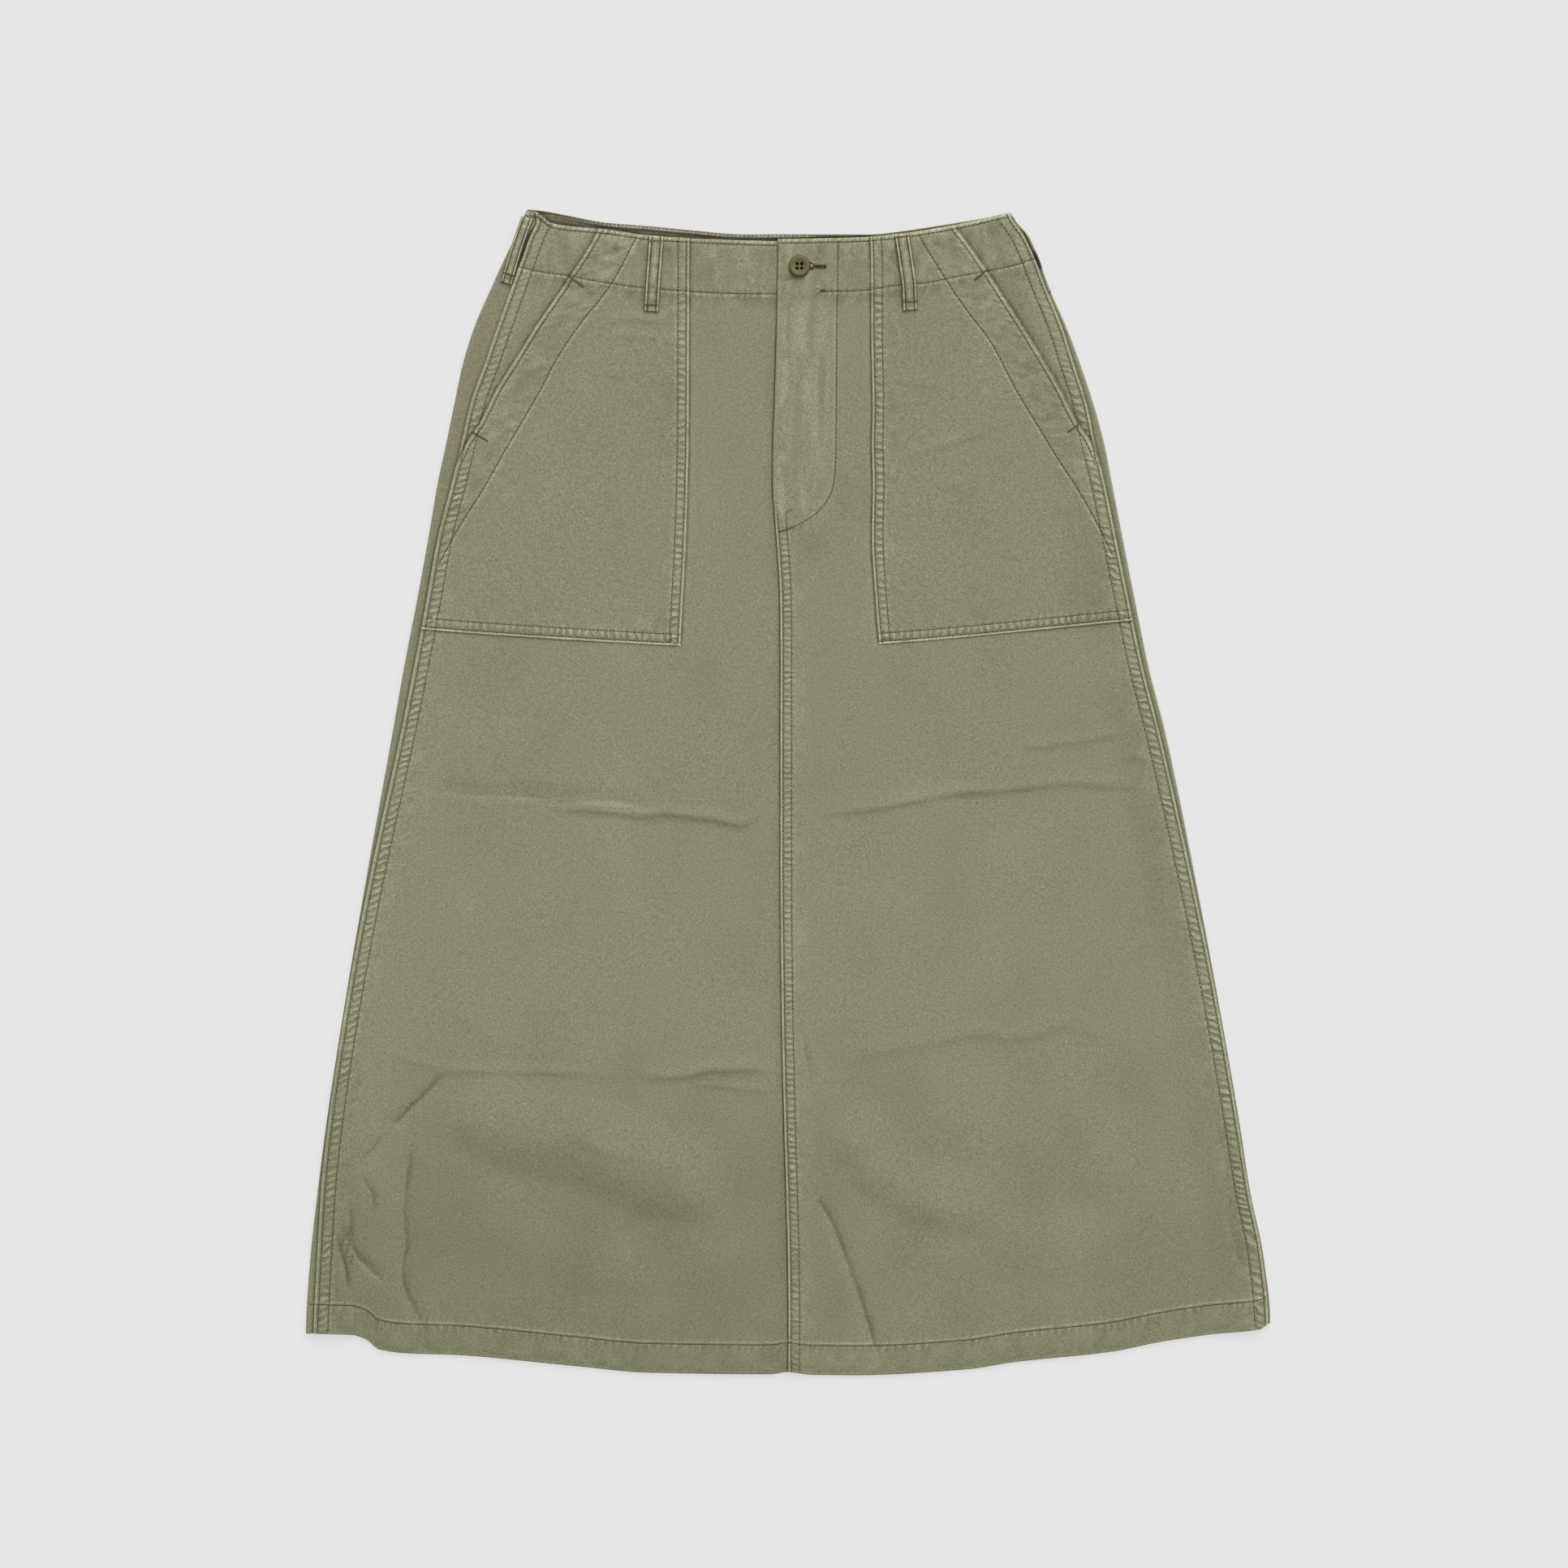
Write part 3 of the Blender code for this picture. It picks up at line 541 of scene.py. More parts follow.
def grid_lines(spans: Sequence[tuple[Sequence[float], int, Sequence[float]]]) -> Array:
    """Grid lines across a row of guide lines, close together beside them and wider between.

    Args:
        spans: For each two neighbouring guides, the shifts after the first, the cells between, and the
            shifts before the second.

    Returns:
        A row for each grid line: a guide and a shift from it, the next guide and a shift from that one, and
        the share of the way from the first to the second.
    """
    rows = []
    for guide, (after, cells, before) in enumerate(spans):
        rows += [(guide, shift, guide, shift, 0.0) for shift in after]
        rows += [(guide, after[-1], guide + 1, -before[0], step / cells) for step in range(1, cells)]
        rows += [(guide + 1, -shift, guide + 1, -shift, 0.0) for shift in before]
    return np.array([*rows, (len(spans), 0.0, len(spans), 0.0, 0.0)])


def place_lines(lines: Array, guides: Sequence[Guide], at: Array, shape: tuple[int, int]) -> Array:
    """Places of the grid lines that run one way, over the whole grid.

    Args:
        lines: The grid lines.
        guides: The guide lines, each a place from the other direction's place.
        at: The other direction's place of every grid point.
        shape: (1, -1) where the lines are columns, (-1, 1) where they are rows.

    Returns:
        The place of every grid point.
    """
    places = np.array([guide(at) for guide in guides])
    first, first_shift, second, second_shift, share = (part.reshape(shape) for part in lines.T)
    row, column = np.ogrid[:at.shape[0], :at.shape[1]]
    start = places[first.astype(int), row, column] + first_shift
    end = places[second.astype(int), row, column] + second_shift
    return start * (1.0 - share) + end * share


def panel_places(columns: Array, rows: Array, across_guides: Sequence[Guide],
                 down_guides: Sequence[Guide]) -> tuple[Array, Array]:
    """Places of a panel's grid points, where columns follow the seams and rows follow waist and hem.

    Args:
        columns: Grid lines across.
        rows: Grid lines down.
        across_guides: Each gives x from down.
        down_guides: Each gives down from x.

    Returns:
        x and down of every grid point.
    """
    down = np.repeat(np.linspace(20.0, 870.0, len(rows))[:, None], len(columns), axis=1)
    x = np.zeros(down.shape)
    for _ in range(6):
        x = place_lines(columns, across_guides, down, (1, -1))
        down = place_lines(rows, down_guides, x, (-1, 1))
    return x, down


def link_object(name: str, mesh: bpy.types.Mesh) -> bpy.types.Object:
    """A new object of a mesh, linked to the scene."""
    thing = bpy.data.objects.new(name, mesh)
    bpy.context.scene.collection.objects.link(thing)
    return thing


def place_mesh(name: str, bm: bmesh.types.BMesh) -> bpy.types.Object:
    """A new object from a bmesh, linked to the scene; the bmesh is freed.

    Args:
        name: The object's name.
        bm: The bmesh.

    Returns:
        The object.
    """
    mesh = bpy.data.meshes.new(name)
    bm.to_mesh(mesh)
    bm.free()
    return link_object(name, mesh)


def grid_object(name: str, x: Array, down: Array, z: Array, wear: Array,
                marks: dict[str, tuple[Array, Array, Array]] | None = None) -> bpy.types.Object:
    """A sheet of quads through a grid of points, with its rubbed light, its painted shade and the marks of its
    sewing as attributes.

    Args:
        name: The object's name.
        x: Places across, by row and column; the columns run towards +x.
        down: Places down.
        z: Heights.
        wear: Rubbed light and painted shade: from -2, a near-black painted shadow in a gap, through -1, full painted
            shade, to 1, rubbed light.
        marks: Three values at every point for each attribute's name.

    Returns:
        The new object, linked to the scene.
    """
    rows, columns = x.shape
    bm = bmesh.new()
    bmesh.ops.create_grid(bm, x_segments=columns - 1, y_segments=rows - 1, size=1.0)
    thing = place_mesh(name, bm)
    mesh = thing.data
    flat = np.empty(len(mesh.vertices) * 3)
    mesh.vertices.foreach_get("co", flat)
    flat = flat.reshape(-1, 3)
    column = np.rint((flat[:, 0] + 1.0) * 0.5 * (columns - 1)).astype(int)
    row = np.rint((1.0 - flat[:, 1]) * 0.5 * (rows - 1)).astype(int)
    placed = np.stack([part[row, column] for part in (x, HALF_LENGTH - down, z)], axis=1) * MM
    mesh.vertices.foreach_set("co", placed.ravel())
    mesh.attributes.new("wear", "FLOAT", "POINT").data.foreach_set(
        "value", np.clip(wear[row, column], -2.0, 1.0).astype(np.float32))
    for label, parts in (marks or {}).items():
        packed = np.stack([part[row, column] for part in parts], axis=1).astype(np.float32)
        mesh.attributes.new(label, "FLOAT_VECTOR", "POINT").data.foreach_set("vector", packed.ravel())
    mesh.shade_smooth()
    mesh.update()
    return thing


def surface_tree(thing: bpy.types.Object) -> BVHTree:
    """The tree of an object's own mesh, before its modifiers, for seating things on it.

    Args:
        thing: The object.

    Returns:
        The tree.
    """
    bm = bmesh.new()
    bm.from_mesh(thing.data)
    tree = BVHTree.FromBMesh(bm)
    bm.free()
    return tree


def thicken(thing: bpy.types.Object, thickness: float) -> None:
    """Give a sheet its thickness on its inner side.

    Args:
        thing: The sheet.
        thickness: Its thickness in millimetres.
    """
    wall = thing.modifiers.new("cloth", "SOLIDIFY")
    wall.thickness = thickness * MM
    wall.offset = -1.0


def finish_piece(thing: bpy.types.Object, material: bpy.types.Material, slot: str, *nodes: str) -> None:
    """Dress a piece, let it ride on the one body and hide the nodes it replaces.

    Args:
        thing: The piece.
        material: Its material.
        slot: Not used.
        nodes: The nodes it replaces.
    """
    thing.data.materials.append(material)
    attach(thing, "root")
    if nodes:
        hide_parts(*nodes)
    LOG.info("%s: %d faces", thing.name, len(thing.data.polygons))


# ---------------------------------------------------------------- node groups and materials

class Kind(Enum):
    """What a socket of a node group carries."""

    NUMBER = "NodeSocketFloat"
    VECTOR = "NodeSocketVector"
    COLOUR = "NodeSocketColor"


class Value:
    """What a socket gives, whose sums, differences and products are further nodes."""

    def __init__(self, nodes: "Nodes", socket: Socket) -> None:
        """Keep the socket and the helper of its tree."""
        self.nodes, self.socket = nodes, socket

    def __add__(self, other: object) -> "Value":
        """The sum."""
        return self.nodes.math("ADD", self, other)

    def __sub__(self, other: object) -> "Value":
        """The difference."""
        return self.nodes.math("SUBTRACT", self, other)

    def __mul__(self, other: object) -> "Value":
        """The product."""
        return self.nodes.math("MULTIPLY", self, other)


class Nodes:
    """Short calls to add and join the nodes of one tree."""

    def __init__(self, tree: bpy.types.NodeTree) -> None:
        """Keep the tree that the nodes go into."""
        self.tree = tree

    def feed(self, node: bpy.types.Node, inputs: dict) -> None:
        """Join a node's inputs to values, or set their numbers, vectors or colours.

        Args:
            node: The node.
            inputs: What goes into each input, by its name or number.
        """
        for name, given in inputs.items():
            target = node.inputs[name]
            if isinstance(given, Value):
                self.tree.links.new(given.socket, target)
            else:
                target.default_value = (*given, 1.0) if target.type == "RGBA" else given

    def add(self, kind: str, inputs: dict | None = None, **settings: object) -> bpy.types.Node:
        """Add a node with its properties and inputs."""
        node = self.tree.nodes.new(kind)
        for name, setting in settings.items():
            setattr(node, name, setting)
        self.feed(node, inputs or {})
        return node

    def get(self, output: str, kind: str, inputs: dict | None = None, **settings: object) -> Value:
        """One output of a new node."""
        return Value(self, self.add(kind, inputs, **settings).outputs[output])

    def every(self, node: bpy.types.Node) -> dict[str, Value]:
        """A node's outputs by their names."""
        return {socket.name: Value(self, socket) for socket in node.outputs}

    def place(self) -> Value:
        """Place on the object."""
        return self.get("Object", "ShaderNodeTexCoord")

    def attribute(self, name: str, output: str = "Vector") -> Value:
        """What the mesh stores under a name."""
        return self.get(output, "ShaderNodeAttribute", attribute_name=name)

    def group(self, tree: bpy.types.NodeTree, **inputs: object) -> dict[str, Value]:
        """Outputs of a node group that is placed with its inputs."""
        return self.every(self.add("ShaderNodeGroup", inputs, node_tree=tree))

    def math(self, operation: str, *values: object, clamp: bool = False) -> Value:
        """Result of one operation on values or numbers."""
        return self.get("Value", "ShaderNodeMath", dict(enumerate(values)), operation=operation, use_clamp=clamp)

    def mix(self, factor: object, first: object, second: object, blend: str = "MIX") -> Value:
        """Mixed colour of two colours."""
        return self.get("Result", "ShaderNodeMix", {"Factor": factor, "A": first, "B": second}, data_type="RGBA",
                        blend_type=blend)

    def ramp(self, value: Value, start: float, stop: float) -> Value:
        """0 at the start and 1 at the stop, and smooth between."""
        return self.get("Result", "ShaderNodeMapRange", {"Value": value, "From Min": start, "From Max": stop},
                        interpolation_type="SMOOTHSTEP")

    def stripe(self, across: Value, middle: float, half: float, full: float = 0.1) -> Value:
        """1 in the middle of a stripe and 0 past its half width."""
        return self.ramp(self.math("ABSOLUTE", across - middle), half, full)

    def noise(self, vector: Value, scale: float, detail: float = 2.0, stretch: Triple | None = None) -> Value:
        """Uneven value from 0 to 1.

        Args:
            vector: The place.
            scale: How many swings there are in a metre.
            detail: How many finer swings lie on them.
            stretch: Swings along each axis, where they differ and the scale is 1.

        Returns:
            The value.
        """
        if stretch:
            vector = self.get("Vector", "ShaderNodeMapping", {"Vector": vector, "Scale": stretch})
        return self.get("Fac", "ShaderNodeTexNoise", {"Vector": vector, "Scale": scale, "Detail": detail})

    def bump(self, height: Value, strength: float, distance: float, **normal: Value) -> Value:
        """Normal of a surface with small relief, on another normal if one is given."""
        inputs = {"Height": height, "Strength": strength, "Distance": distance, **normal}
        return self.get("Normal", "ShaderNodeBump", inputs)


def new_material(name: str) -> tuple[bpy.types.Material, Nodes, bpy.types.Node]:
    """A new material, its node helper and its shader."""
    material = bpy.data.materials.new(name)
    material.use_nodes = True
    return material, Nodes(material.node_tree), material.node_tree.nodes["Principled BSDF"]


def new_group(name: str, inputs: dict[str, Kind], outputs: dict[str, Kind]) -> tuple:
    """A new shader node group with its sockets.

    Args:
        name: The group's name.
        inputs: What each of its inputs carries.
        outputs: What each of its outputs carries.

    Returns:
        The group, its node helper, the values of its inputs, and its output node.
    """
    group = bpy.data.node_groups.new(name, "ShaderNodeTree")
    for way, sockets in (("INPUT", inputs), ("OUTPUT", outputs)):
        for label, kind in sockets.items():
            group.interface.new_socket(name=label, in_out=way, socket_type=kind.value)
    nodes = Nodes(group)
    return group, nodes, nodes.every(nodes.add("NodeGroupInput")), nodes.add("NodeGroupOutput")


def mark_group(name: str, *more: str) -> tuple:
    """A new group for one kind of mark, from its three attribute values to its rubbed light, painted shade and
    height.

    Args:
        name: The group's name.
        more: Names of its other inputs.

    Returns:
        The group, its node helper, the values of its inputs, its output node and the three values.
    """
    group, nodes, given, end = new_group(name, {label: Kind.VECTOR for label in ("Mark", *more)},
                                         {"Wear": Kind.NUMBER, "Height": Kind.NUMBER})
    parts = nodes.every(nodes.add("ShaderNodeSeparateXYZ", {0: given["Mark"]}))
    return group, nodes, given, end, *parts.values()


def woven_group() -> bpy.types.NodeTree:
    """The weave of washed cotton: uneven yarns both ways, a mottle and slow fading."""
    group, nodes, given, end = new_group(
        "woven_cotton", {"Place": Kind.VECTOR}, {"Tone": Kind.NUMBER, "Height": Kind.NUMBER, "Mottle": Kind.NUMBER})
    place = given["Place"]
    upright = nodes.noise(place, 1.0, stretch=(1150.0, 420.0, 300.0))
    level = nodes.noise(place, 1.0, stretch=(440.0, 1200.0, 300.0))
    mottle, cloud = nodes.noise(place, 1050.0), nodes.noise(place, 17.0)
    yarns = upright * 0.60 + level * 0.65
    nodes.feed(end, {"Tone": yarns + mottle * 1.15 + cloud * 0.16 - 0.280, "Height": yarns + mottle * 0.2,
                     "Mottle": mottle})
    return group


def pucker_group() -> bpy.types.NodeTree:
    """Puckers between stitch rows from turns, place and strength: how light their rubbed crests are, how dark the
    painted shade of their troughs is, and how high they are.
    """
    group, nodes, given, end, turns, place, strength = mark_group("puckered_seam", "Place")
    uneven = nodes.noise(given["Place"], 95.0) * 9.0
    wave = nodes.math("SINE", turns * (2.0 * math.pi) + uneven) * 1.5
    wave = nodes.math("MAXIMUM", nodes.math("MINIMUM", wave, 1.0), -1.0)
    swell = nodes.math("MAXIMUM", nodes.noise(given["Place"], 70.0) * 3.4 - 0.8, 0.0)
    wave = wave * swell * strength
    between = nodes.ramp(place, 0.03, 0.16) * nodes.ramp(place, 0.97, 0.84)
    tails = nodes.ramp(place, 1.02, 1.12) * nodes.ramp(place, 2.1, 1.1)
    nodes.feed(end, {"Wear": wave * (between * 0.22 + tails * 0.13), "Height": wave * (between + tails * 0.25)})
    return group


def row_group() -> bpy.types.NodeTree:
    """A stitched row from the distance to it: a sunk line darkened as painted shade, and the light rubbed fold of
    the edge beside it.
    """
    group, nodes, _, end, across, dark, light = mark_group("sewn_row")
    # painted shade in the row's groove
    sunk = nodes.stripe(across, 0.0, 0.95) * dark
    fold = nodes.stripe(across, 1.7, 1.5) * light
    nodes.feed(end, {"Wear": fold - sunk, "Height": fold * 0.8 - sunk})
    return group


def fold_group() -> bpy.types.NodeTree:
    """A crease's darkest line from the distance to it, with a soft shade around it, both painted shade, and a
    painted highlight on the ridge beside it.
    """
    group, nodes, given, end, across, dark, light = mark_group("fold_line", "Place")
    across = across + (nodes.noise(given["Place"], 90.0) - 0.5) * 3.0
    line = nodes.stripe(across, 0.0, 1.9) * dark * 0.34
    shade = nodes.stripe(across, 0.0, 4.4, 0.3) * dark * 0.42
    # painted highlight beside the crease, less its painted dark line
    raised_and_highlit = nodes.stripe(across, 2.4, 1.8) * light - line
    nodes.feed(end, {"Wear": raised_and_highlit - shade, "Height": raised_and_highlit})
    return group


def rubbed_and_shade_group() -> bpy.types.NodeTree:
    """Colour of the cloth: lighter where rubbed, darker with painted shade in folds, rows and seam edges, and
    near-black as painted shadow in gaps, broken up by the mottle.
    """
    group, nodes, given, end = new_group(
        "worn_colour",
        {"Wear": Kind.NUMBER, "Mottle": Kind.NUMBER, "Tone": Kind.NUMBER, "Cloth": Kind.COLOUR,
         "Rubbed": Kind.COLOUR, "Shaded": Kind.COLOUR}, {"Color": Kind.COLOUR})
    wear, broken = given["Wear"], given["Mottle"] * 0.9 + 0.55
    rubbed = nodes.math("MULTIPLY", nodes.math("MAXIMUM", wear, 0.0), broken, clamp=True)
    # painted shade below 0
    painted_shade = nodes.math("MULTIPLY", nodes.math("MINIMUM", wear, 0.0), -1.0, clamp=True)
    # painted shadow: near-black where the value falls below -1, for gaps
    gap = nodes.math("MULTIPLY", wear + 1.0, -1.0, clamp=True)
    colour = nodes.mix(rubbed, given["Cloth"], given["Rubbed"])
    colour = nodes.mix(painted_shade, colour, given["Shaded"])
    colour = nodes.mix(gap, colour, (0.012, 0.010, 0.006))
    grey = nodes.get("Color", "ShaderNodeCombineColor", {channel: given["Tone"] for channel in range(3)})
    nodes.feed(end, {"Color": nodes.mix(1.0, colour, grey, "MULTIPLY")})
    return group


@dataclass(frozen=True)
class ClothGroups:
    """The node groups that every cloth shares."""

    weave: bpy.types.NodeTree
    pucker: bpy.types.NodeTree
    row: bpy.types.NodeTree
    fold: bpy.types.NodeTree
    # mixes rubbed light and painted shade into the cloth's colour
    worn: bpy.types.NodeTree


@dataclass(frozen=True)
class ClothFinish:
    """Washed cotton sateen in one colour, with its warmer colour, its rubbed colour and the colour of its painted
    shade.
    """

    name: str
    cloth: Triple
    warm: Triple
    rubbed: Triple
    # colour of the painted shade in folds, rows and gaps
    painted_shade: Triple
    relief: float = 0.00022      # height of the puckers and rows, in metres
    yarn: float = 0.0002         # height of the weave, in metres

    def build(self, groups: ClothGroups) -> bpy.types.Material:
        """The material.

        Args:
            groups: The shared node groups.

        Returns:
            The new material.
        """
        material, nodes, shader = new_material(self.name)
        place = nodes.place()
        woven = nodes.group(groups.weave, Place=place)
        wear, relief = nodes.attribute("wear", "Fac"), None
        at = {"Place": place}
        for name, tree, where in (("upright", groups.pucker, at), ("level", groups.pucker, at),
                                  ("row", groups.row, {}), ("fold", groups.fold, at)):
            mark = nodes.group(tree, Mark=nodes.attribute(name), **where)
            wear, relief = wear + mark["Wear"], mark["Height"] + relief if relief else mark["Height"]
        warmth = nodes.ramp(nodes.noise(place, 26.0, 3.0), 0.35, 0.65)
        colour = nodes.group(groups.worn, Wear=wear, Mottle=woven["Mottle"], Tone=woven["Tone"],
                             Cloth=nodes.mix(warmth, self.cloth, self.warm), Rubbed=self.rubbed, Shaded=self.painted_shade)
        folded = nodes.bump(relief, 1.0, self.relief)
        nodes.feed(shader, {"Base Color": colour["Color"], "Roughness": 0.88, "Specular IOR Level": 0.25,
                            "Sheen Weight": 0.1, "Sheen Roughness": 0.5,
                            "Normal": nodes.bump(woven["Height"], 0.3, self.yarn, Normal=folded)})
        return material


@dataclass(frozen=True)
class ThreadFinish:
    """Cotton thread, a little uneven along its length."""

    name: str
    colour: Triple
    faded: Triple

    def build(self) -> bpy.types.Material:
        """The material."""
        material, nodes, shader = new_material(self.name)
        place = nodes.place()
        nodes.feed(shader, {"Base Color": nodes.mix(nodes.noise(place, 300.0), self.colour, self.faded),
                            "Normal": nodes.bump(nodes.noise(place, 4200.0, 1.0), 0.3, 0.0001),
                            "Roughness": 0.8, "Specular IOR Level": 0.15})
        return material


@dataclass(frozen=True)
class ButtonFinish:
    """Turned urea: faint rings and a rim darkened with painted shadow."""

    name: str
    colour: Triple
    worn: Triple
    # colour of the painted shadow round the rim
    edge: Triple

    def build(self, centre: Vector) -> bpy.types.Material:
        """The material.

        Args:
            centre: The button's middle in metres, round which the rings go.

        Returns:
            The new material.
        """
        material, nodes, shader = new_material(self.name)
        place = nodes.place()
        beside = nodes.get("Vector", "ShaderNodeMapping", {"Vector": place, "Location": -centre})
        rings = nodes.get("Fac", "ShaderNodeTexWave", {"Vector": beside, "Scale": 320.0, "Distortion": 1.5},
                          wave_type="RINGS", rings_direction="Z")
        blotch = nodes.noise(place, 260.0, 3.0) * 0.65
        share = nodes.math("ADD", rings * 0.35, blotch, clamp=True)
        level = nodes.get("Vector", "ShaderNodeVectorMath", {0: beside, 1: (1.0, 1.0, 0.0)}, operation="MULTIPLY")
        # painted shadow: the rim darkens to the edge colour towards its outside
        rim = nodes.ramp(nodes.get("Value", "ShaderNodeVectorMath", {0: level}, operation="LENGTH"), 0.0074, 0.0081)
        nodes.feed(shader, {"Base Color": nodes.mix(rim, nodes.mix(share, self.colour, self.worn), self.edge),
                            "Normal": nodes.bump(rings, 0.15, 0.0001),
                            "Roughness": 0.55, "Specular IOR Level": 0.2})
        return material


class Finishes:
    """Every material of the skirt apart from the button's, built once."""

    def __init__(self) -> None:
        """Build the groups and the materials."""
        groups = ClothGroups(woven_group(), pucker_group(), row_group(), fold_group(), rubbed_and_shade_group())
        # The last colour of each cloth is its painted shade.
        self.olive = ClothFinish("olive_cotton", (0.244, 0.243, 0.152), (0.249, 0.2425, 0.1515),
                                 (0.52, 0.51, 0.37), (0.080, 0.072, 0.031)).build(groups)
        self.side = ClothFinish("olive_cotton_back", (0.226, 0.221, 0.138), (0.236, 0.221, 0.140),
                                (0.46, 0.45, 0.33), (0.075, 0.068, 0.034)).build(groups)
        # a darker copy of the cloth, painted with the shade that falls inside the waist
        self.inside = ClothFinish("inside_cotton", (0.148, 0.142, 0.088), (0.156, 0.142, 0.092),
                                  (0.48, 0.43, 0.35), (0.045, 0.040, 0.022)).build(groups)
        self.loop = ClothFinish("loop_cotton", (0.248, 0.244, 0.152), (0.258, 0.243, 0.152),
                                (0.55, 0.54, 0.40), (0.055, 0.048, 0.024)).build(groups)
        self.thread = ThreadFinish("olive_thread", (0.061, 0.053, 0.021), (0.102, 0.091, 0.043)).build()
        self.tack = ThreadFinish("brown_thread", (0.105, 0.080, 0.036), (0.165, 0.132, 0.066)).build()
        # near-black: the button's thread, and lengths that stand in for shadow in its holes and in the buttonhole's
        # gap
        self.black_thread_and_shadow = ThreadFinish("dark_thread", (0.008, 0.006, 0.003), (0.020, 0.016, 0.008)).build()
        self.tuft = ThreadFinish("pale_thread", (0.55, 0.53, 0.45), (0.75, 0.74, 0.68)).build()


# ---------------------------------------------------------------- creases

RIGHT_CREASES = (
    Crease(((-291.9, 439.0), (-254.0, 445.8), (-195.8, 448.9), (-172.8, 452.6), (-149.3, 451.4), (-126.3, 452.6),
            (-102.8, 458.8), (-92.2, 460.0)), -1.2, 12.0, 4.5, 0.6, 0.25, -0.22),
    Crease(((-188.3, 458.8), (-133.8, 462.5), (-110.8, 466.2), (-95.3, 463.8), (-71.8, 466.2), (-56.3, 468.1),
            (-37.0, 472.4), (-25.3, 468.1), (-16.0, 460.7), (-7.9, 454.5)), 1.5, 10.0, 3.4, 0.75, 0.2, -0.26),
    Crease(((-327.8, 634.9), (-308.0, 646.7), (-269.5, 658.4), (-261.5, 660.3), (-172.8, 662.2), (-114.5, 664.0)),
           0.6, 10.0, 2.8, 0.6, 0.3, -0.10),
    Crease(((-118.3, 664.6), (-87.3, 665.9), (-56.3, 660.3), (-7.9, 659.1)), 1.3, 13.0, 3.2, 0.7, 0.2, -0.24),
    Crease(((-79.8, 669.6), (-37.0, 673.9), (-7.9, 677.0)), 0.6, 4.0, 2.6, 0.7, 0.3, -0.24),
    Crease(((-304.3, 703.1), (-293.7, 691.9), (-283.2, 681.4), (-273.3, 671.5), (-263.3, 661.5)),
           -2.0, 3.4, 9.0, 0.85, 0.2, -0.60),
    Crease(((-331.5, 737.8), (-319.8, 720.4), (-304.3, 703.1)), -0.8, 3.0, 6.0, 0.6, 0.4, -0.25),
    Crease(((-286.9, 708.7), (-290.6, 743.4), (-292.5, 770.7), (-290.6, 789.9), (-294.3, 813.4), (-288.8, 832.7),
            (-278.8, 851.9), (-275.1, 867.4)), -2.0, 5.0, 10.0, 0.55, 0.2, -0.42),
    Crease(((-342.7, 774.4), (-331.5, 794.2), (-323.5, 805.4), (-306.1, 820.9)), -1.6, 7.0, 4.0, 0.7, 0.2, -0.50),
    Crease(((-344.6, 781.5), (-341.2, 795.0), (-337.2, 808.5), (-334.9, 828.0)), -1.3, 5.0, 3.4, 0.7, 0.2, -0.75),
    Crease(((-334.4, 758.6), (-332.9, 776.0), (-331.0, 792.0)), -0.8, 4.0, 3.0, 0.7, 0.25, -0.5),
    Crease(((-327.2, 735.9), (-316.0, 755.2), (-317.9, 770.7)), -1.1, 5.0, 3.4, 0.7, 0.3, -0.45),
    Crease(((-275.7, 851.9), (-276.0, 862.0), (-277.0, 875.4)), -0.9, 4.0, 4.0, 0.6, 0.35, -0.2),
    Crease(((-273.3, 681.4), (-254.0, 700.6), (-219.3, 718.6), (-195.8, 726.0), (-164.8, 731.6), (-133.8, 745.2),
            (-102.8, 758.9), (-64.3, 762.6), (-37.7, 764.5)), 3.2, 52.0, 32.0, 0.0, 0.2),
    Crease(((-172.8, 696.9), (-157.3, 714.2), (-133.8, 724.2), (-114.5, 724.2)), 0.7, 10.0, 6.0, 0.2, 0.35),
    Crease(((-98.4, 553.7), (-92.2, 569.2), (-81.7, 584.7)), -0.3, 5.0, 5.0, 0.3, 0.4, -0.05),
    Crease(((-47.0, 605.7), (-28.4, 615.7), (-12.9, 627.4)), -0.3, 5.0, 5.0, 0.3, 0.4, -0.05),
    Crease(((-219.3, 394.9), (-207.0, 387.0), (-195.8, 381.3)), -0.3, 6.0, 5.0, 0.3, 0.4, -0.03),
    Crease(((-99.0, 367.7), (-87.0, 352.0), (-75.5, 336.7)), -0.3, 6.0, 5.0, 0.3, 0.4, -0.03),
    Crease(((-210.0, 806.0), (-150.0, 819.0), (-80.0, 824.0)), 0.9, 34.0, 24.0, 0.0, 0.4),
    Crease(((-240.0, 560.0), (-170.0, 548.0), (-90.0, 556.0)), 0.6, 40.0, 34.0, 0.0, 0.4),
)
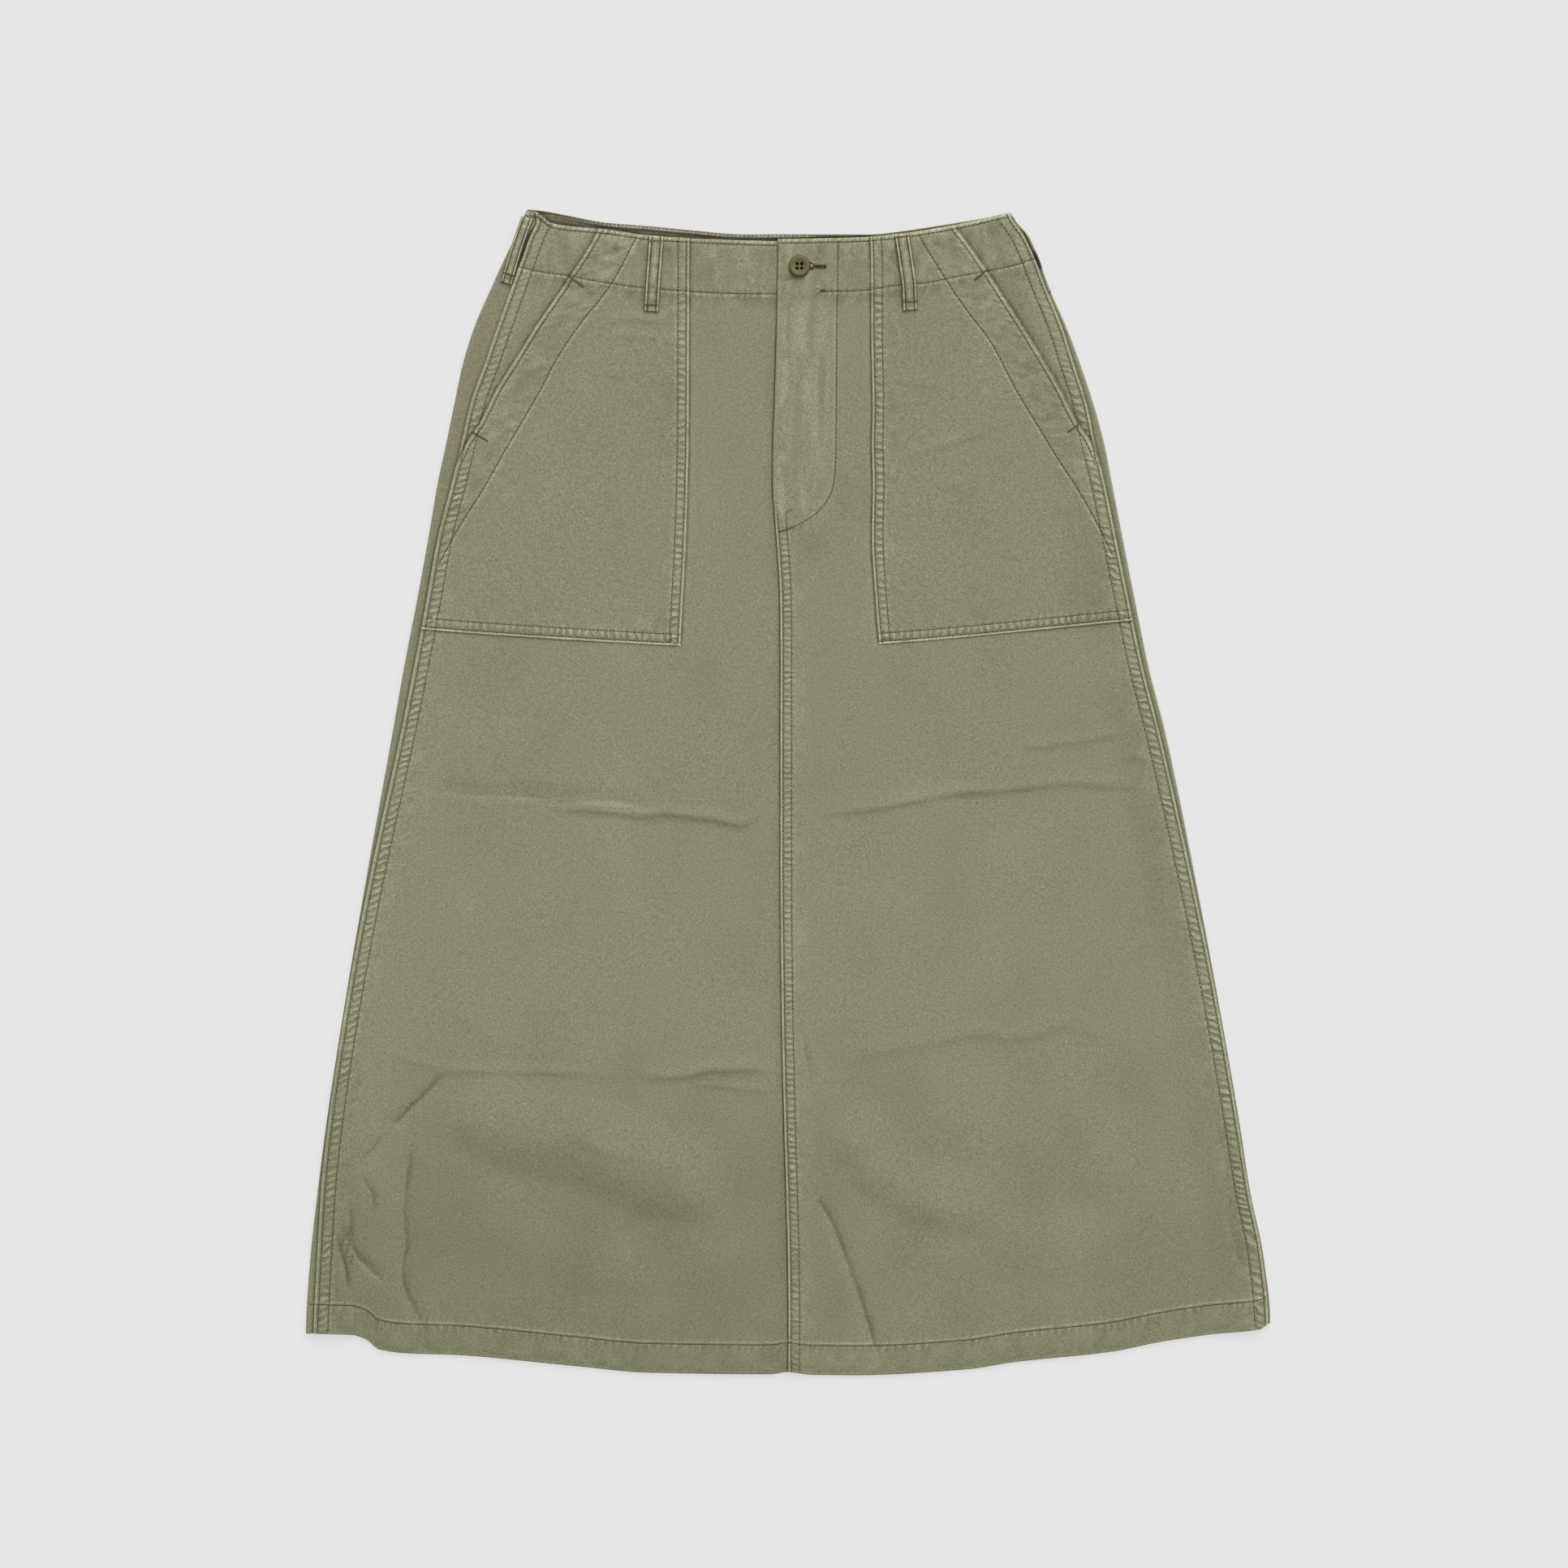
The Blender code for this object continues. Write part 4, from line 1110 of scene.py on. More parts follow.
LEFT_CREASES = (
    Crease(((13.8, 468.1), (34.9, 463.8), (55.3, 461.9), (96.9, 454.5), (129.7, 448.3), (158.9, 446.4),
            (191.7, 443.3), (218.4, 440.8), (249.4, 443.3), (278.5, 445.2)), 1.1, 13.0, 3.3, 0.7, 0.2, -0.2),
    Crease(((166.9, 414.2), (196.1, 411.7), (224.6, 408.0), (249.4, 404.2), (264.3, 400.5)),
           0.8, 9.0, 2.8, 0.75, 0.25, -0.11),
    Crease(((258.1, 419.1), (268.6, 421.0), (278.5, 425.3)), 0.6, 5.0, 3.0, 0.6, 0.35, -0.06),
    Crease(((55.3, 361.5), (47.3, 386.3), (38.6, 427.8), (26.2, 456.3)), -0.5, 8.0, 8.0, 0.1, 0.4),
    Crease(((113.0, 592.7), (129.7, 572.3), (150.2, 559.9), (171.3, 549.3), (216.5, 539.4)),
           0.5, 10.0, 6.0, 0.3, 0.4),
    Crease(((8.8, 625.0), (13.8, 642.3), (16.3, 652.9), (18.1, 667.1), (22.5, 677.7)),
           -0.7, 3.0, 5.0, 0.7, 0.3, -0.16),
    Crease(((18.1, 648.5), (42.9, 652.9), (67.7, 646.7), (100.6, 641.7), (134.1, 634.3), (150.2, 632.4),
            (166.9, 636.1), (191.7, 632.4), (208.5, 626.2), (224.6, 628.1), (237.0, 634.3), (258.1, 632.4)),
           0.7, 14.0, 6.0, 0.3, 0.25, -0.04),
    Crease(((25.6, 689.4), (46.0, 722.3), (67.1, 747.1), (83.2, 759.5), (124.8, 773.8), (174.4, 776.2)),
           2.2, 40.0, 24.0, 0.0, 0.3),
    Crease(((18.1, 744.0), (24.3, 756.4), (34.9, 775.0), (42.9, 795.5), (53.5, 824.6), (61.5, 849.4), (67.7, 869.9),
            (75.8, 886.6)), -1.7, 3.0, 8.5, 0.85, 0.22, -0.55),
    Crease(((323.8, 683.9), (336.2, 733.5), (338.7, 770.7), (344.9, 803.5), (352.9, 820.3)),
           -1.3, 9.0, 8.0, 0.3, 0.2, -0.12),
    Crease(((62.2, 173.0), (50.4, 213.9), (21.2, 268.5), (5.7, 305.7)), -1.2, 13.0, 9.0, 0.2, 0.35, -0.05),
    Crease(((62.0, 236.0), (48.0, 262.0), (38.0, 300.0)), 0.7, 11.0, 12.0, 0.1, 0.35),
    Crease(((18.1, 72.5), (11.9, 113.5), (10.7, 143.2)), -0.7, 4.0, 5.0, 0.4, 0.35, -0.10),
    Crease(((31.0, 90.0), (30.0, 140.0), (30.0, 200.0)), 0.4, 4.0, 4.0, 0.4, 0.35),
    Crease(((-3.6, 53.9), (0.5, 53.4), (5.7, 52.1)), -0.3, 2.0, 2.0, 0.8, 0.3, -1.1),
    Crease(((110.0, 792.0), (190.0, 808.0), (280.0, 806.0)), 0.9, 36.0, 30.0, 0.0, 0.4),
    Crease(((150.0, 700.0), (220.0, 742.0), (300.0, 760.0)), 1.2, 56.0, 34.0, 0.0, 0.4),
    Crease(((90.0, 540.0), (170.0, 528.0), (270.0, 536.0)), 0.6, 44.0, 34.0, 0.0, 0.4),
)
BACK_CREASES = (
    Crease(((-250.0, 452.0), (-120.0, 461.0), (20.0, 466.0), (150.0, 452.0), (250.0, 446.0)),
           1.3, 14.0, 6.0, 0.5, 0.2),
    Crease(((-290.0, 655.0), (-130.0, 664.0), (60.0, 660.0), (240.0, 648.0)), 1.3, 18.0, 7.0, 0.5, 0.2),
    Crease(((250.0, 690.0), (180.0, 730.0), (90.0, 758.0), (-10.0, 772.0)), 1.1, 30.0, 16.0, 0.2, 0.3),
    Crease(((-80.0, 740.0), (-98.0, 800.0), (-118.0, 868.0)), 1.0, 6.0, 12.0, 0.5, 0.25),
    Crease(((210.0, 760.0), (222.0, 812.0), (214.0, 858.0)), 0.9, 6.0, 10.0, 0.5, 0.25),
    Crease(((-220.0, 560.0), (-130.0, 548.0), (-60.0, 556.0)), 0.7, 10.0, 6.0, 0.5, 0.35),
    Crease(((60.0, 300.0), (120.0, 330.0), (200.0, 340.0)), 0.8, 16.0, 12.0, 0.3, 0.35),
    Crease(((-60.0, 200.0), (-110.0, 260.0), (-150.0, 330.0)), 0.8, 14.0, 14.0, 0.3, 0.35),
)
POCKET_RIGHT_CREASES = (
    Crease(((-156.1, 93.0), (-130.7, 87.4), (-114.5, 86.4), (-79.2, 89.0)), 0.5, 8.0, 4.0, 0.4, 0.35, -0.05),
    Crease(((-149.9, 99.2), (-118.3, 99.3), (-91.0, 103.7)), 0.4, 6.0, 4.0, 0.4, 0.35, -0.04),
    Crease(((-174.1, 122.8), (-143.1, 127.1), (-105.9, 132.1)), 0.3, 8.0, 6.0, 0.3, 0.4),
    Crease(((-186.5, 237.5), (-174.1, 246.8), (-166.6, 251.1)), -0.3, 5.0, 5.0, 0.4, 0.4, -0.04),
)
POCKET_LEFT_CREASES = (
    Crease(((72.0, 196.5), (91.9, 190.3), (133.5, 178.6), (157.0, 166.8), (168.8, 163.7)),
           0.5, 9.0, 4.5, 0.4, 0.3, -0.05),
    Crease(((104.9, 215.1), (126.6, 212.7), (145.2, 208.3)), 0.3, 7.0, 5.0, 0.3, 0.4),
    Crease(((86.3, 134.5), (104.9, 136.4), (121.7, 137.6)), 0.3, 7.0, 5.0, 0.3, 0.4),
    Crease(((157.6, 266.0), (168.8, 268.5), (182.4, 270.3)), -0.4, 4.0, 4.0, 0.6, 0.35, -0.10),
)


# ---------------------------------------------------------------- seams of the fronts and pockets

BESIDE_OFFSETS = (0.0, 0.6, 1.3, 2.4, 4.5)
ROW_OFFSETS = (0.0, 0.8, 1.8, 3.2, 5.2, 8.0)
EDGE_OFFSETS = (0.0, 0.35, 0.9, 1.7, 2.6, 3.4, 4.3, 5.6, 7.5)


def seam_offsets(rows: Point) -> tuple[float, ...]:
    """Grid lines beside a folded edge: close together at the edge and at both of its stitch rows."""
    first, second = rows
    between = np.linspace(first + 0.8, second - 0.8, 7)
    edge = (0.0, 0.35, 0.8, 0.5 * (0.8 + first - 0.7), first - 0.7, first)
    return (*edge, *map(float, between), second, second + 0.8, second + 2.0, second + 4.4, second + 7.0)


def reverse(offsets: Sequence[float]) -> tuple[float, ...]:
    """Offsets before a guide line, widest first and without the line itself."""
    return tuple(sorted((offset for offset in offsets if offset > 0.0), reverse=True))


def edge_round(across: Array, radius: float = 0.8, drop: float = 0.42) -> Array:
    """How far a folded edge turns down at a distance inside it."""
    t = np.clip(1.0 - across / radius, 0.0, 1.0)
    return -drop * (1.0 - np.sqrt(np.clip(1.0 - t * t, 0.0, 1.0)))


def felled(line: SeamLine, rows: Point, seed: int, rim: float = 0.0, light: float = 0.60, **puckers: float) -> Seam:
    """A double-stitched folded edge: light rubbed fold, sunk rows darkened as painted shade, and puckers between
    them.

    Args:
        line: The folded edge.
        rows: Distances of the two stitch rows from it.
        seed: Which unevenness to use.
        rim: How dark the very edge is, as a painted shadow; below 0 it is lighter.
        light: How light the fold is rubbed.
        puckers: What its puckers have of their own.

    Returns:
        The seam.
    """
    first, second = rows
    # painted shadow at the very edge and painted shade in both rows; the fold and the band between the rows are
    # rubbed light
    stripes = (Stripe(0.0, 0.55, -rim, 0.0), Stripe(1.0, 1.05, light, 0.0), Stripe(first, 0.85, -0.52, -0.2),
               Stripe(second, 0.8, -0.25, -0.22), Stripe(0.5 * (first + second), 0.5 * (second - first), 0.12, 0.25),
               Stripe(second + 2.0, 2.2, 0.08, 0.05))
    drag = Drag(second, second + 12.0, 0.06, 0.16, 14.0, 16.0)
    return Seam(line, stripes, (drag,), seed, Pucker(first, second, tail=3.5, **puckers))


class SewnRow(NamedTuple):
    """A stitch row that the grid doesn't follow, drawn by the material from the distance to it, darkened as painted
    shade.
    """

    line: SeamLine
    shift: float
    dark: float
    light: float

    def measure(self, x: Array, down: Array) -> Marks:
        """Distance to the row, how dark its painted shade is and how light the fold beside it is."""
        across, _, reach = self.line.measure(x, down)
        across = across - self.shift
        reach = reach * soft_step((10.0 - np.abs(across)) / 4.0)
        return np.clip(across, -12.0, 12.0), self.dark * reach, self.light * reach


@dataclass(frozen=True)
class FrontSeams:
    """Every seam of the fronts and pockets, from how the skirt lies."""

    lie: Lie

    def line(self, name: str, toward: float, *reach: float) -> SeamLine:
        """A lengthwise line of the skirt, with the depths it reaches and its fade if they are given."""
        return SeamLine(self.lie.lines[name], Runs.DOWN, toward, *reach)

    def side(self, side: Side, start: float = -1000.0) -> Seam:
        """The felled side seam of one side, from a depth down."""
        return felled(self.line(f"{side.name}_seam", side.inwards, start), side.rows, side.seed, pitch=5.6,
                      skew=side.skew, strength=1.1, smooth_above=46.0, smooth_over=170.0)

    def centre(self) -> Seam:
        """The felled centre seam, from the foot of the fly to the hem."""
        return felled(self.line("centre", 1.0, 232.0, 900.0, 12.0), CENTRE_ROWS, 7, 0.5, pitch=4.6, strength=0.85)

    def fly_edge(self) -> Seam:
        """The soft folded edge of the fly above the centre seam's stitching: a painted shadow line at the edge and
        rubbed light beside it.
        """
        stripes = (Stripe(0.0, 0.9, -0.6, 0.0), Stripe(1.9, 1.5, 0.10, 0.0), Stripe(6.0, 5.0, 0.10, 0.0),
                   Stripe(21.0, 24.0, 0.07, 0.0))
        drags = (Drag(1.0, 44.0, 0.09, 0.2, 90.0, 9.0), Drag(1.5, 12.0, 0.10, 0.16, 14.0, 9.0))
        return Seam(self.line("centre", 1.0, 20.0, 240.0, 10.0), stripes, drags, 8)

    def fly_shade(self) -> Seam:
        """The shade on the right front under the left front's edge."""
        return Seam(self.line("centre", -1.0, 20.0, 900.0, 6.0),
                    (Stripe(-0.3, 1.6, -0.9, -0.1), Stripe(4.0, 6.0, -0.06, -0.25)), seed=9)

    def corner_shade(self) -> Seam:
        """The soft shade of the right front's bunched lower corner."""
        return Seam(self.line("right_seam", 1.0, 735.0, 870.0, 40.0), (Stripe(26.0, 32.0, -0.08, 0.0),), seed=10)

    def waist(self, side: Side) -> Seam:
        """The waist edge and its single row: the edge rubbed light, the row darkened as painted shade."""
        stripes = (Stripe(1.3, 1.7, 0.50, 0.1), Stripe(WAIST_ROW, 0.85, -0.55, -0.24), Stripe(5.4, 2.4, 0.08, 0.0))
        drags = (Drag(WAIST_ROW, 20.0, 0.13, 0.2, 7.0, 22.0), Drag(5.0, 40.0, 0.08, 0.22, 15.0, 26.0))
        return Seam(SeamLine(self.lie.waist(side), Runs.ACROSS, 1.0), stripes, drags, 11 if side.laps_over else 12,
                    Pucker(0.3, WAIST_ROW, 4.6, 0.5, 0.9, 5.0))

    def waist_fade(self) -> Seam:
        """The paler edge of the waist towards the left side."""
        line = SeamLine(self.lie.waist_left, Runs.ACROSS, 1.0, 70.0, 400.0, 20.0)
        return Seam(line, (Stripe(1.5, 2.2, 0.35, 0.0),), seed=19)

    def band(self, side: Side) -> Seam:
        """The row that holds the waist facing, darkened as painted shade, with a light fold beside it."""
        return Seam(SeamLine(self.lie.band_line, Runs.ACROSS, 1.0, *side.band_span, 4.0),
                    (Stripe(0.0, 0.75, -0.45, -0.28), Stripe(1.9, 1.5, 0.30, 0.08)),
                    (Drag(0.3, 14.0, 0.10, 0.2, 9.0, 16.0), Drag(-16.0, -0.4, 0.08, 0.16, 9.0, 16.0)), 13,
                    Pucker(0.0, 0.0, 5.6, 0.1, 1.1, 6.0, 0.6))

    def hem(self) -> Seam:
        """The turned hem's row, darkened as painted shade, and the puckers on both sides of it."""
        return Seam(SeamLine(self.lie.hem_stitch, Runs.ACROSS, 1.0),
                    (Stripe(0.0, 0.85, -0.6, -0.28), Stripe(-1.5, 1.2, 0.42, 0.14)),
                    (Drag(0.4, 22.0, 0.08, 0.2, 11.0, 20.0),), 14, Pucker(0.0, 0.0, 6.4, 0.1, 1.1, 8.0, 0.35))

    def hem_edge(self) -> Seam:
        """The hem's folded edge."""
        return Seam(SeamLine(self.lie.hem_line, Runs.ACROSS, -1.0), (Stripe(0.7, 1.6, 0.18, 0.0),), seed=15)

    def beside_pocket(self, side: Side) -> tuple[Seam, Seam]:
        """The shade on a front just outside its pocket."""
        foot = SeamLine(self.lie.pocket_foot, Runs.ACROSS, 1.0, *side.foot_span, 4.0)
        shade = (Stripe(0.4, 1.3, -0.62, -0.1), Stripe(3.0, 2.4, 0.06, 0.0))
        return (Seam(self.line(f"{side.name}_pocket", side.inwards, 10.0, 334.0, 4.0), shade, seed=16),
                Seam(foot, (Stripe(0.5, 1.3, -0.06, -0.1),), seed=17))

    def beside_mouth(self, side: Side) -> Seam:
        """The shade on a front just outside the pocket mouth."""
        return Seam(SeamLine(Curve(side.mouth), Runs.DOWN, -side.inwards, 10.0, 196.0, 6.0),
                    (Stripe(0.4, 2.0, -0.8, 0.0), Stripe(3.0, 5.0, -0.08, 0.0)), seed=18)

    def pocket_side(self, side: Side) -> Seam:
        """The pocket's inner edge, felled to the front."""
        return felled(self.line(f"{side.name}_pocket", -side.inwards), POCKET_ROWS, 20 + side.seed, 0.4, pitch=5.6,
                      smooth_above=56.0)

    def pocket_foot(self, side: Side) -> Seam:
        """The pocket's lower edge, felled to the front."""
        line = SeamLine(self.lie.pocket_foot, Runs.ACROSS, -1.0)
        return felled(line, side.foot_rows, 22 + side.seed, -0.4, 0.95, pitch=5.6)

    def mouth(self, side: Side) -> Seam:
        """The pocket mouth's folded edge and its row: the very edge darkened by the side's painted shadow, a rubbed
        light fold, and the row darkened as painted shade.
        """
        row = side.mouth_row
        stripes = (Stripe(0.3, 0.7, side.mouth_gap_shadow, 0.0), Stripe(side.mouth_fold, 1.4, 0.50, 0.12),
                   Stripe(row, 0.85, -0.5, -0.24), Stripe(row + 1.7, 1.6, 0.12, 0.0))
        return Seam(SeamLine(Curve(side.mouth), Runs.DOWN, side.inwards, 8.0, 200.0, 6.0), stripes,
                    (Drag(4.2, 26.0, 0.12, 0.24, 9.0, 14.0),), 24 + side.seed, Pucker(row, 0.0, 5.8, 0.3, 0.8, 8.0))

    def mouth_facing(self, side: Side) -> SewnRow:
        """The row that holds the mouth's facing, darkened as painted shade, with the light line of the edge turned
        in under it.
        """
        line = SeamLine(Curve(side.facing), Runs.DOWN, side.inwards, 14.0, 272.0, 8.0)
        return SewnRow(line, FACING_ROW, 0.36, 0.26)

    def facing_puckers(self, side: Side) -> Seam:
        """The soft streaks between the mouth and its facing's row."""
        return Seam(self.mouth_facing(side).line, (), (Drag(-16.0, 0.2, 0.10, 0.2, 9.0, 14.0),), 26 + side.seed,
                    Pucker(0.0, 0.0, 6.2, 0.3, 0.6, 6.0))

    def fly_row(self) -> SewnRow:
        """The fly's long row, down to where it turns in, darkened as painted shade."""
        curve = Curve([(down, x) for x, down in FLY_STITCH[:10]])
        return SewnRow(SeamLine(curve, Runs.DOWN, -1.0, 15.0, 236.0, 8.0), 0.0, 0.32, 0.08)


# ---------------------------------------------------------------- cloth panels

@dataclass(frozen=True)
class ClothPanel:
    """One cloth panel as a fine grid: its places, heights, rubbed light and painted shade."""

    name: str
    x: Array
    down: Array
    height: Array
    seams: Sequence[Seam]
    edges: Sequence[SeamLine]
    creases: Sequence[Crease] = ()
    thickness: float = 0.9
    fade: float = 0.0        # painted shade: how much darker the cloth is towards the hem
    deepest: float = 1.5     # no trough sinks further, so that it stays off the ply below
    row: SewnRow | None = None

    def creased(self) -> tuple[Array, Marks]:
        """The creases' heights, with the distance to the nearest one's darkest line and the strength of its painted
        shade.
        """
        height, dark = np.zeros(self.x.shape), np.zeros(self.x.shape)
        nearest = np.full(self.x.shape, 1e9)
        for crease in self.creases:
            signed, strength = crease.add(self.x, self.down, height)
            closer = (np.abs(signed) < np.abs(nearest)) & (strength > 0.01)
            nearest, dark = np.where(closer, signed, nearest), np.where(closer, strength, dark)
        height = np.where(height < 0.0, np.tanh(height / self.deepest) * self.deepest, height)
        dark = dark * soft_step((6.5 - np.abs(nearest)) / 2.5)
        # the third value is the painted highlight beside the crease
        return height, (np.clip(nearest, -12.0, 12.0), dark, 0.3 * dark)

    def relief(self, height: Array) -> tuple[Array, Array]:
        """Heights, rubbed light and painted shade of the panel with its seams, small unevenness and turned edges.

        Args:
            height: Heights of its creases.

        Returns:
            The heights in millimetres, and the rubbed light and painted shade from -1 to 1.
        """
        x, down, wear = self.x, self.down, np.zeros(self.x.shape)
        for seam in self.seams:
            seam.add(x, down, height, wear)
        seed = sum(map(ord, self.name))
        height += 0.20 * wander_over(x / 52.0 + 40.0, down / 61.0, seed)
        height += 0.07 * wander_over(x / 17.0 + 60.0, down / 21.0, seed + 1)
        height = height + self.height
        # painted shade: darker towards the hem
        wear -= self.fade * soft_step((down - 560.0) / 260.0)
        wear += 0.05 * wander_over(x / 31.0 + 20.0, down / 44.0 + 20.0, seed + 2)
        for edge in self.edges:
            across, _, reach = edge.measure(x, down)
            height += (edge_round(across) - 0.3 * (1.0 - soft_step(across / 6.0))) * reach
        return height, wear

    def nearest_puckers(self, runs: Runs) -> Marks:
        """Turns, place and strength of the nearest puckers of the seams that run one way."""
        best = np.full(self.x.shape, 1e9)
        turns, place, strength = np.zeros(self.x.shape), np.full(self.x.shape, 4.0), np.zeros(self.x.shape)
        for seam in self.seams:
            if seam.pucker and seam.line.runs is runs:
                parts = seam.pucker.measure(seam.line, self.x, self.down)
                apart = np.abs(parts[1] - 0.5) + np.where(parts[2] > 0.02, 0.0, 50.0)
                closer = apart < best
                best = np.where(closer, apart, best)
                turns, place, strength = (np.where(closer, new, old)
                                          for new, old in zip(parts, (turns, place, strength)))
        return turns, place, strength

    def build(self) -> bpy.types.Object:
        """The panel's object, with its thickness."""
        height, folds = self.creased()
        height, wear = self.relief(height)
        marks = {"fold": folds, "upright": self.nearest_puckers(Runs.DOWN),
                 "level": self.nearest_puckers(Runs.ACROSS)}
        if self.row:
            marks["row"] = self.row.measure(self.x, self.down)
        thing = grid_object(self.name, self.x, self.down, height, wear, marks)
        thicken(thing, self.thickness)
        return thing


@dataclass
class Fronts:
    """Both front panels, in fine grids that follow their seams."""

    lie: Lie
    seams: FrontSeams
    cells_down: tuple[int, int, int, int] = (14, 56, 178, 5)
    surfaces: dict[str, BVHTree] = field(default_factory=dict)

    def under_fly(self, down: Array) -> Array:
        """The right front's hidden edge: the fly's underlap, and the centre seam's lap below it."""
        lie = self.lie
        lap = lie.centre_lap + (lie.underlap - lie.centre_lap) * soft_step((lie.fly_length + 40.0 - down) / 16.0)
        return lie.lines["centre"](down) + lap

    def places(self, side: Side) -> tuple[Array, Array]:
        """x and down of every grid point of one front."""
        lie = self.lie
        band, body, skirt, hem = self.cells_down
        beside_row, beside = reverse(ROW_OFFSETS), reverse(BESIDE_OFFSETS)
        rows = grid_lines([(EDGE_OFFSETS, band, beside_row), (ROW_OFFSETS, body, beside),
                           (BESIDE_OFFSETS, skirt, beside_row), (ROW_OFFSETS, hem, reverse(EDGE_OFFSETS[:6]))])
        if side.laps_over:
            names, hidden = ("centre", "left_pocket", "left_seam"), []
            columns = [(seam_offsets(CENTRE_ROWS), 26, beside),
                       (BESIDE_OFFSETS, 62, reverse(seam_offsets(side.rows)))]
        else:
            names, hidden = ("right_seam", "right_pocket", "centre"), [self.under_fly]
            columns = [(seam_offsets(side.rows), 60, beside), (BESIDE_OFFSETS, 28, beside), ((0.0, 1.2), 3, (2.0,))]
        return panel_places(grid_lines(columns), rows, [*(lie.lines[name] for name in names), *hidden],
                            [lie.waist(side), lie.band_line, lie.pocket_foot, lie.hem_stitch, lie.hem_line])

    def build_one(self, side: Side) -> bpy.types.Object:
        """One front; the left one laps over the right at the centre and carries the fly's stitching."""
        lie, seams = self.lie, self.seams
        x, down = self.places(side)
        sewn = [seams.waist(side), seams.band(side), seams.hem(), seams.hem_edge(), *seams.beside_pocket(side),
                seams.beside_mouth(side)]
        edges = [SeamLine(lie.waist(side), Runs.ACROSS, 1.0), SeamLine(lie.hem_line, Runs.ACROSS, -1.0)]
        if side.laps_over:
            sewn = [seams.centre(), seams.fly_edge(), *sewn, seams.waist_fade()]
            edges.insert(0, seams.line("centre", 1.0))
        else:
            sewn += [seams.fly_shade(), seams.corner_shade()]
        return ClothPanel(f"front_{side.name}_cloth", x, down, lie.front_top(x, down, side.laps_over),
                          [seams.side(side), *sewn], [seams.line(f"{side.name}_seam", side.inwards), *edges],
                          LEFT_CREASES if side.laps_over else RIGHT_CREASES, fade=0.12 if side.laps_over else 0.20,
                          row=seams.fly_row() if side.laps_over else None).build()

    def build(self, finishes: Finishes) -> None:
        for side, flat, area in ((RIGHT, (0.42, 0.93), 0.295), (LEFT, (0.40, 0.93), 0.290)):
            thing = self.build_one(side)
            self.surfaces[side.name] = surface_tree(thing)
            finish_piece(thing, finishes.olive, "olive_cloth", f"front_{side.name}")


@dataclass
class Pockets:
    """The two patch pockets with slanted mouths."""

    lie: Lie
    seams: FrontSeams
    stand: float = 1.15      # top of the pocket above the front's top at its sewn edges
    puff: float = 0.35       # how much more it stands in its middle
    gape: float = 0.8        # how far the open mouth lifts
    surfaces: dict[str, BVHTree] = field(default_factory=dict)

    def outer_edge(self, side: Side, down: Array) -> Array:
        """The pocket's outer boundary: the slanted mouth, then the side seam."""
        seam = self.lie.lines[f"{side.name}_seam"](down)
        mouth = np.where(down > side.mouth[-1][0], seam, Curve(side.mouth)(down))
        return np.minimum(seam, mouth) if side.laps_over else np.maximum(seam, mouth)

    def build_one(self, side: Side) -> bpy.types.Object:
        """One pocket.

        Args:
            side: The side it is on.

        Returns:
            The pocket's object.
        """
        lie, seams, waist, order = self.lie, self.seams, self.lie.waist(side), int(side.inwards)
        first, second = (seam_offsets(side.rows), seam_offsets(POCKET_ROWS))[::order]
        guides = [lambda down: self.outer_edge(side, down), lie.lines[f"{side.name}_pocket"]][::order]
        rows = grid_lines([(EDGE_OFFSETS, 12, reverse(ROW_OFFSETS)),
                           (ROW_OFFSETS, 120, reverse(seam_offsets(side.foot_rows)))])
        x, down = panel_places(grid_lines([(first, side.pocket_cells, reverse(second))]), rows, guides,
                               [waist, lie.band_line, lie.pocket_foot])
        sewn = [seams.side(side, side.mouth_foot), seams.pocket_side(side), seams.pocket_foot(side),
                seams.waist(side), seams.band(side), seams.mouth(side), seams.facing_puckers(side)]
        if side.laps_over:
            sewn.append(seams.waist_fade())
        mouth = SeamLine(Curve(side.mouth), Runs.DOWN, side.inwards, 6.0, 196.0, 5.0)
        edges = [mouth, seams.line(f"{side.name}_pocket", -side.inwards),
                 SeamLine(lie.pocket_foot, Runs.ACROSS, -1.0), SeamLine(waist, Runs.ACROSS, 1.0), sewn[0].line]
        height = lie.front_top(x, down, side.laps_over) + self.stand
        inside = [edge.measure(x, down)[0] for edge in (edges[1], edges[2], edges[4])]
        height += self.puff * soft_step(np.minimum.reduce([*inside, down - waist(x)]) / 12.0)
        open_share = soft_step((down - 58.0) / 30.0) * soft_step((166.0 - down) / 30.0)
        height += self.gape * open_share * np.exp(-np.clip(mouth.measure(x, down)[0], 0.0, None) / 14.0)
        return ClothPanel(f"pocket_{side.name}_cloth", x, down, height, sewn, edges,
                          POCKET_LEFT_CREASES if side.laps_over else POCKET_RIGHT_CREASES, 0.8,
                          row=seams.mouth_facing(side)).build()

    def build(self, finishes: Finishes) -> None:
        for side, area in ((RIGHT, 0.054), (LEFT, 0.053)):
            thing = self.build_one(side)
            self.surfaces[side.name] = surface_tree(thing)
            finish_piece(thing, finishes.olive, "olive_cloth", f"pocket_{side.name}")


